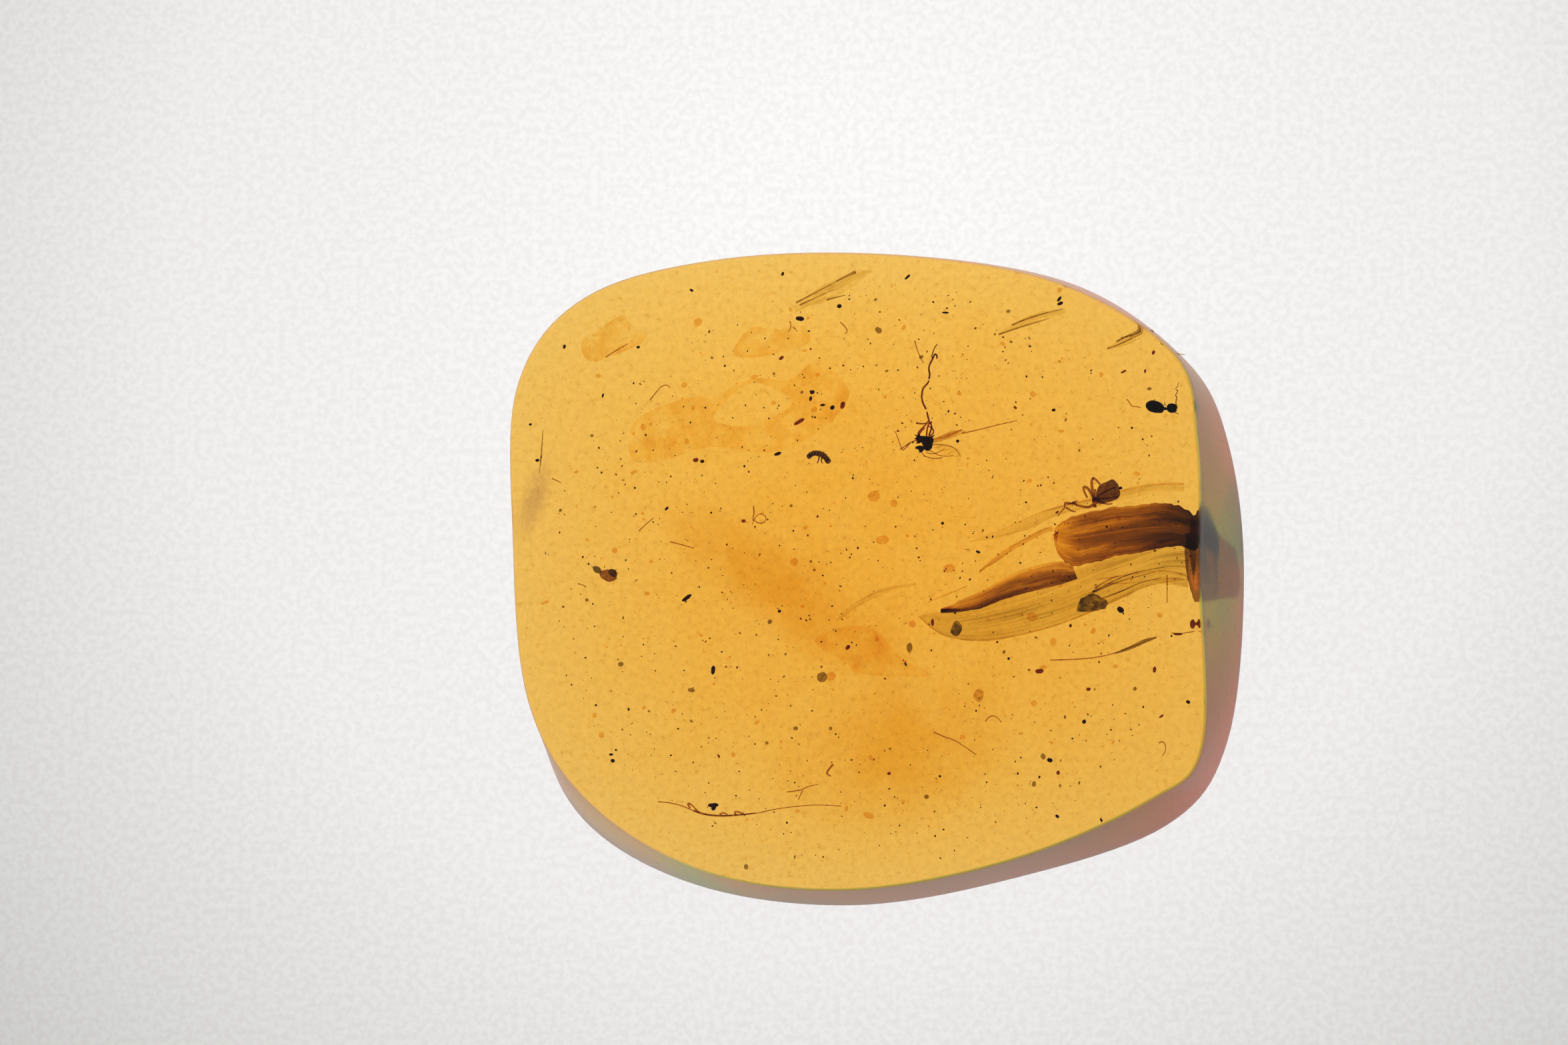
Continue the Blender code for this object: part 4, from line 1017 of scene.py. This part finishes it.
def add_hairs():
    # Broken insect hairs and plant fibres, stained dark by the resin, and one long strand with knots in it.
    fibre = sealed_matter("stray_fibre", [(0.3, "#8a5c38"), (0.7, "#c8965c")], grain_mm=0.2)
    fine = add_threads([
        flat(3, (-4.9, 2.95), (-4.85, 2.6), (-4.95, 2.4), (-4.7, 2.2), (-4.45, 2.2), (-4.3, 2.4),
             (-4.45, 2.6), (-4.7, 2.6), (-4.85, 2.4), (-4.95, 2.15)),
        flat(3, (-9.25, -9.65), (-8.65, -9.7), (-8, -9.9), (-7.4, -10.2), (-6.65, -10.3), (-5.4, -10.25),
             (-4.75, -10.2), (-4.15, -10.05), (-3.3, -9.95), (-2.05, -9.85), (-1.1, -9.95)),
        flat(3.4, (-3.45, -9.35), (-2.8, -9.3), (-2.5, -9.1), (-2.05, -9.05)),
        flat(3.4, (-2.75, -9.3), (-2.85, -9.5), (-2.95, -9.7)),
        flat(3, (3, -6.85), (3.4, -7.05), (3.9, -7.2), (4.35, -7.5), (4.85, -7.85)),
        flat(2.6, (5.2, -6.4), (5.35, -6.2), (5.55, -6.15), (5.75, -6.25), (5.9, -6.45)),
        flat(3.2, (12.85, -7.55), (13, -7.45), (13.15, -7.65), (13.15, -7.9), (13, -8.1)),
        flat(3.3, (11.5, 7.2), (11.6, 7.1), (11.7, 6.9), (11.85, 6.9), (12.1, 6.85)),
        flat(3.4, (-1.1, 10.8), (-0.85, 10.6), (-0.75, 10.3), (-0.9, 10.3)),
        flat(3.4, (-3.35, 10.9), (-3.2, 10.65), (-3.4, 10.45)), flat(3.4, (-3.2, 10.65), (-3, 10.45)),
        flat(3, (-11.6, 9.6), (-11.1, 9.9), (-10.6, 10.15)),
        flat(3.2, (-9.55, 7.65), (-9.3, 7.95), (-9.05, 8.25), (-8.75, 8.3), (-8.65, 8.15)),
        flat(3, (-10, 2), (-9.7, 2.3), (-9.35, 2.55)),
        flat(3, (-13.95, 4.4), (-13.7, 4.3), (-13.55, 4.2)),
        flat(3, (-8.6, 1.5), (-8.15, 1.4), (-7.55, 1.2)),
        flat(3, (-12.75, -0.2), (-12.55, -0.25), (-12.35, -0.35)),
        flat(3.3, (4.3, 5.85), (5.1, 6), (5.9, 6.2), (6.7, 6.35)),
        flat(3, (13.15, -0.35), (13.15, -0.9), (13.15, -1.55)),
        flat(3, (8.1, -3.9), (9.4, -3.9), (10.3, -3.8), (10.95, -3.65), (11.75, -3.35), (12.65, -3.05)),
        flat(3, (13.35, -2.85), (13.65, -2.9), (14, -2.85), (14.35, -2.8)),
        flat(3.3, (2.2, 9.9), (2.3, 9.4), (2.6, 8.9)),
    ], radius=0.026, thin=0.018)
    knots = add_threads([
        flat(3, (-7.65, -10.05), (-7.3, -10.2), (-6.65, -10.3), (-6.05, -10.3), (-5.4, -10.25),
             (-4.9, -10.2)),
        flat(3, (-7.8, -9.95), (-7.95, -9.75), (-7.8, -9.75), (-7.65, -9.9), (-7.4, -10.15)),
        flat(3, (-6.5, -10.25), (-6.35, -10.1), (-6.15, -10.25)),
        flat(3, (-5.75, -10.3), (-5.9, -10.1), (-5.55, -10.15), (-5.35, -10.3)),
        flat(2.5, (-1.5, -8.1), (-1.75, -8.35), (-1.8, -8.55), (-1.6, -8.6)),
    ], radius=0.05, thin=0.03)
    finish_piece(given(joined([fine, knots]), fibre), "stray_fibres", "thread")


# Specks


def scattered(chance, count, smallest, largest):
    """Grains at random places well inside the pebble, most of them near the smallest size."""
    for _ in range(count):
        turn, out = chance.uniform(0, math.tau), math.sqrt(chance.random()) * 0.95
        x, y = DUST_HALF_SIZE[0] * out * math.cos(turn), DUST_HALF_SIZE[1] * out * math.sin(turn)
        length = smallest + (largest - smallest) * chance.random() ** 3
        level = chance.uniform(*DUST_LEVELS)
        yield (x, y, level, length, length * chance.uniform(0.5, 0.95), chance.uniform(0, 180))


def add_dust():
    """Specks of four kinds. The largest have their own places, as (x, y, z, length, width, heading)."""
    grain = add_grain()
    chance = random.Random(11)
    # Charred wood is nearly black and dull. The other grains only stain the light that comes through them.
    charred = cuticle("charred_wood_dust", [(0.35, "#240f06"), (0.7, "#5a2a14")], grain_mm=0.1, roughness=0.7)
    red = sealed_matter("red_resin_grain", [(0.3, "#5a2216"), (0.7, "#8c4426")], grain_mm=0.15)
    olive = sealed_matter("olive_spore", [(0.3, "#7a6a44"), (0.7, "#b4a472")], grain_mm=0.1)
    orange = sealed_matter("orange_resin_bead", [(0.3, "#e8c07c"), (0.7, "#f8e2b0")], grain_mm=0.3)
    add_specks("charred_dust", "crumb", charred, grain, [
        (-13.4, 10.1, 3.6, 0.2, 0.14, 70), (-15, 6.8, 2.6, 0.14, 0.12, 0), (-11.6, 7.9, 3.8, 0.2, 0.1, 70),
        (-10.3, 10, 1.8, 0.16, 0.14, 0), (-7.8, 12.4, 3.1, 0.2, 0.12, -30), (-3.7, 13, 3.4, 0.18, 0.14, 60),
        (-3, 11, 2.6, 0.4, 0.22, -10), (-1.1, 11.5, 3.8, 0.22, 0.2, 0), (-2.5, 7.8, 1.8, 0.22, 0.18, 20),
        (-2.4, 7.5, 3.1, 0.22, 0.14, 80), (-1.8, 7.2, 3.6, 0.24, 0.12, 0), (-1.5, 7.1, 2.6, 0.22, 0.2, 30),
        (-7.1, 4.9, 3.8, 0.2, 0.16, 0), (-4, 5.2, 1.8, 0.34, 0.16, 15), (-8.9, 3, 1.8, 0.22, 0.12, 40),
        (-14.6, 5.2, 3.2, 0.2, 0.14, 0), (-7.9, -0.9, 2.6, 0.52, 0.18, 32), (-6.6, -4.1, 3.8, 0.4, 0.2, 80),
        (-3.9, -1.5, 1.8, 0.16, 0.14, 0), (-11.3, -7.6, 3.1, 0.2, 0.12, 0),
        (-11.2, -7.9, 3.4, 0.2, 0.18, -20), (-6.7, -9.9, 3.6, 0.5, 0.2, 0), (-6.9, -9.8, 1.8, 0.3, 0.22, 60),
        (1.9, -4, 3.8, 0.2, 0.1, -70), (3.6, 11.1, 3.8, 0.32, 0.1, -5), (8.5, 11.6, 3.1, 0.28, 0.14, 50),
        (8.6, 11.4, 3.5, 0.28, 0.16, 20), (8.2, 6.8, 2.6, 0.18, 0.14, 0), (4.2, 5.5, 3.9, 0.15, 0.15, 0),
        (4.9, 0.8, 2.6, 0.22, 0.12, -25), (1.8, 12.7, 3.1, 0.32, 0.12, 40), (14, -5.8, 2.6, 0.2, 0.16, -30),
        (9.7, -6.6, 3.8, 0.18, 0.2, 0), (8.3, -10.5, 2.6, 0.2, 0.14, -40),
        (10.4, -10.8, 3.6, 0.2, 0.12, -30), (8, -8.1, 2.6, 0.26, 0.2, -20), (3.5, 2, 3.6, 0.14, 0.14, 0),
        (9.1, -2.5, 3.8, 0.12, 0.16, 0), (6.3, -3.8, 3.1, 0.12, 0.12, 0), (11.1, -1.8, 2.8, 0.34, 0.26, -40),
        *scattered(chance, 900, 0.03, 0.12)])
    add_specks("red_grains", "crumb", red, grain, [
        (-3.7, 9.3, 3.3, 0.24, 0.16, 30), (-1.1, 7.2, 2.2, 0.34, 0.22, 70), (-2.8, 6.5, 3.8, 0.55, 0.18, 28),
        (-7.5, 5, 2.9, 0.26, 0.2, 0), (-5.3, 2.3, 3.3, 0.2, 0.16, 0), (-0.7, -3.2, 3.3, 0.26, 0.18, 40),
        (0.9, -8.5, 2.2, 0.18, 0.14, 0), (-6.4, -7.8, 3.8, 0.2, 0.1, -60), (12.6, 9.2, 2.9, 0.2, 0.14, 60),
        (11.3, 8.4, 2.9, 0.28, 0.1, 25), (12.3, 8.4, 3.3, 0.18, 0.1, 80), (6.7, 6.9, 3.8, 0.18, 0.12, -40),
        (12.6, -4.4, 2.9, 0.28, 0.16, 80), (9.8, -5.2, 3.3, 0.2, 0.16, 0), (7.5, -4.3, 2.2, 0.38, 0.22, 0),
        (12.9, -6.4, 2.9, 0.24, 0.1, 30), (8.3, -8.6, 2.2, 0.16, 0.2, 0), (13.6, -2.9, 2.9, 0.42, 0.12, -3),
        (3, -2.2, 3.2, 0.14, 0.34, 0), (14.3, -2.5, 3.2, 0.24, 0.44, 0), (8.45, 2.4, 3.3, 0.18, 0.1, 30),
        *scattered(chance, 500, 0.03, 0.12)])
    add_specks("olive_spores", "crumb", olive, grain, [
        (-11, -3.6, 1.4, 0.26, 0.22, 0), (-7.8, -4.8, 2, 0.34, 0.2, -10), (-4.4, -1.9, 1.2, 0.22, 0.2, 30),
        (-2.1, -4.3, 1.4, 0.46, 0.46, 0), (-3.2, -6.5, 2, 0.22, 0.2, 0), (-5.5, -12.4, 2, 0.2, 0.26, 0),
        (1.9, -3.2, 2.6, 0.26, 0.42, 0), (0.4, 10.4, 2, 0.34, 0.26, -40), (6.1, 11.1, 2, 0.2, 0.16, 0),
        (7.5, -7.8, 1.2, 0.22, 0.28, 30), (7.3, -9.1, 2.6, 0.18, 0.26, 0), (11.5, -5.1, 1.4, 0.16, 0.18, 0),
        (2.5, -9.5, 2, 0.22, 0.2, 0), (2.3, 9.2, 2, 0.22, 0.16, 20), (12.2, 7.7, 1.6, 0.2, 0.14, 0),
        *scattered(chance, 260, 0.05, 0.17)])
    add_specks("orange_beads", "crumb", orange, grain, [
        (0.2, 3.3, 1.5, 0.52, 0.52, 0), (0.7, 1.4, 2.4, 0.58, 0.4, 0), (-3.1, 0.5, 3, 0.38, 0.38, 0),
        (-7.7, 11, 1.5, 0.38, 0.38, 0), (-12, 8.8, 2.4, 0.26, 0.22, 0), (-11.3, 1.3, 1, 0.28, 0.28, 0),
        (-10.3, 4.6, 2.4, 0.34, 0.16, 20), (1, 3, 1, 0.32, 0.34, 0), (-14.4, -0.9, 1.5, 0.42, 0.14, 15),
        (0, -10.3, 2.4, 0.5, 0.28, -20), (2, -2.2, 2.4, 0.32, 0.32, 0), (3.7, 0.1, 3, 0.52, 0.4, 0),
        (7.2, -2, 2.4, 0.46, 0.42, 0), (7.9, -3, 1, 0.28, 0.38, 0), (-1.5, -4.4, 3, 0.46, 0.4, 0),
        (-11.8, -6.7, 2.4, 0.26, 0.28, 0), (8.4, 12, 2.4, 0.2, 0.26, 0), (7.8, -4.2, 3, 0.28, 0.2, 0),
        (11.6, 4.1, 1.5, 0.28, 0.2, -20), (8.5, 5.9, 2.4, 0.26, 0.14, 0),
        *scattered(chance, 160, 0.1, 0.3)])
    bpy.data.objects.remove(grain)


# Floor, light and camera


def add_stage():
    deselect_all()
    bpy.ops.mesh.primitive_plane_add(size=2.0, location=(0, 0, -0.05 * MM))
    floor = bpy.context.object
    floor.name = "light_table"
    floor.data.materials.append(opal_light_table())


def add_light():
    """A dim soft room above the light table, a little brighter and warmer near the horizon."""
    world = bpy.data.worlds.new("studio")
    world.use_nodes = True
    tree = world.node_tree
    tree.nodes.clear()
    sky = add_node(tree, "TexCoord")
    height = add_node(tree, "SeparateXYZ", {"Vector": sky.outputs["Generated"]})
    tone = add_node(tree, "ValToRGB", {"Fac": height.outputs["Z"]}, stops=[
        (0.0, "#bcb4ad"), (0.85, "#7c7c7c")])
    room = add_node(tree, "Background", {"Color": tone, "Strength": 1.0})
    add_node(tree, "OutputWorld", {"Surface": room})
    bpy.context.scene.world = world
    bpy.context.scene.view_settings.view_transform = "Standard"


def add_camera():
    bpy.ops.object.camera_add()
    camera = bpy.context.object
    camera.data.lens = CAMERA_LENS
    camera.data.sensor_width = SENSOR_WIDTH
    camera.data.clip_start = MM
    level = Vector((math.cos(CAMERA_HEADING), math.sin(CAMERA_HEADING), 0))
    away = level * math.sin(CAMERA_TILT) + Vector((0, 0, math.cos(CAMERA_TILT)))
    distance = FRAME_WIDTH_MM * CAMERA_LENS / SENSOR_WIDTH
    camera.location = (Vector(FRAME_MIDDLE_MM) + away * distance) * MM
    right = Vector((0, 1, 0)).cross(away).normalized()
    turn = Matrix((right, away.cross(right), away)).transposed()
    camera.rotation_euler = turn.to_euler()
    bpy.context.scene.camera = camera


def main():
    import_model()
    add_camera()
    add_light()
    add_stage()
    add_pebble()
    for add_sealed in (
            add_spider, add_wasp, add_silk, add_beetle, add_rove_beetle, add_bug, add_bark, add_crumbs,
            add_films, add_film_fibres, add_clouds, add_flow_lines, add_hairs, add_dust):
        add_sealed()


main()
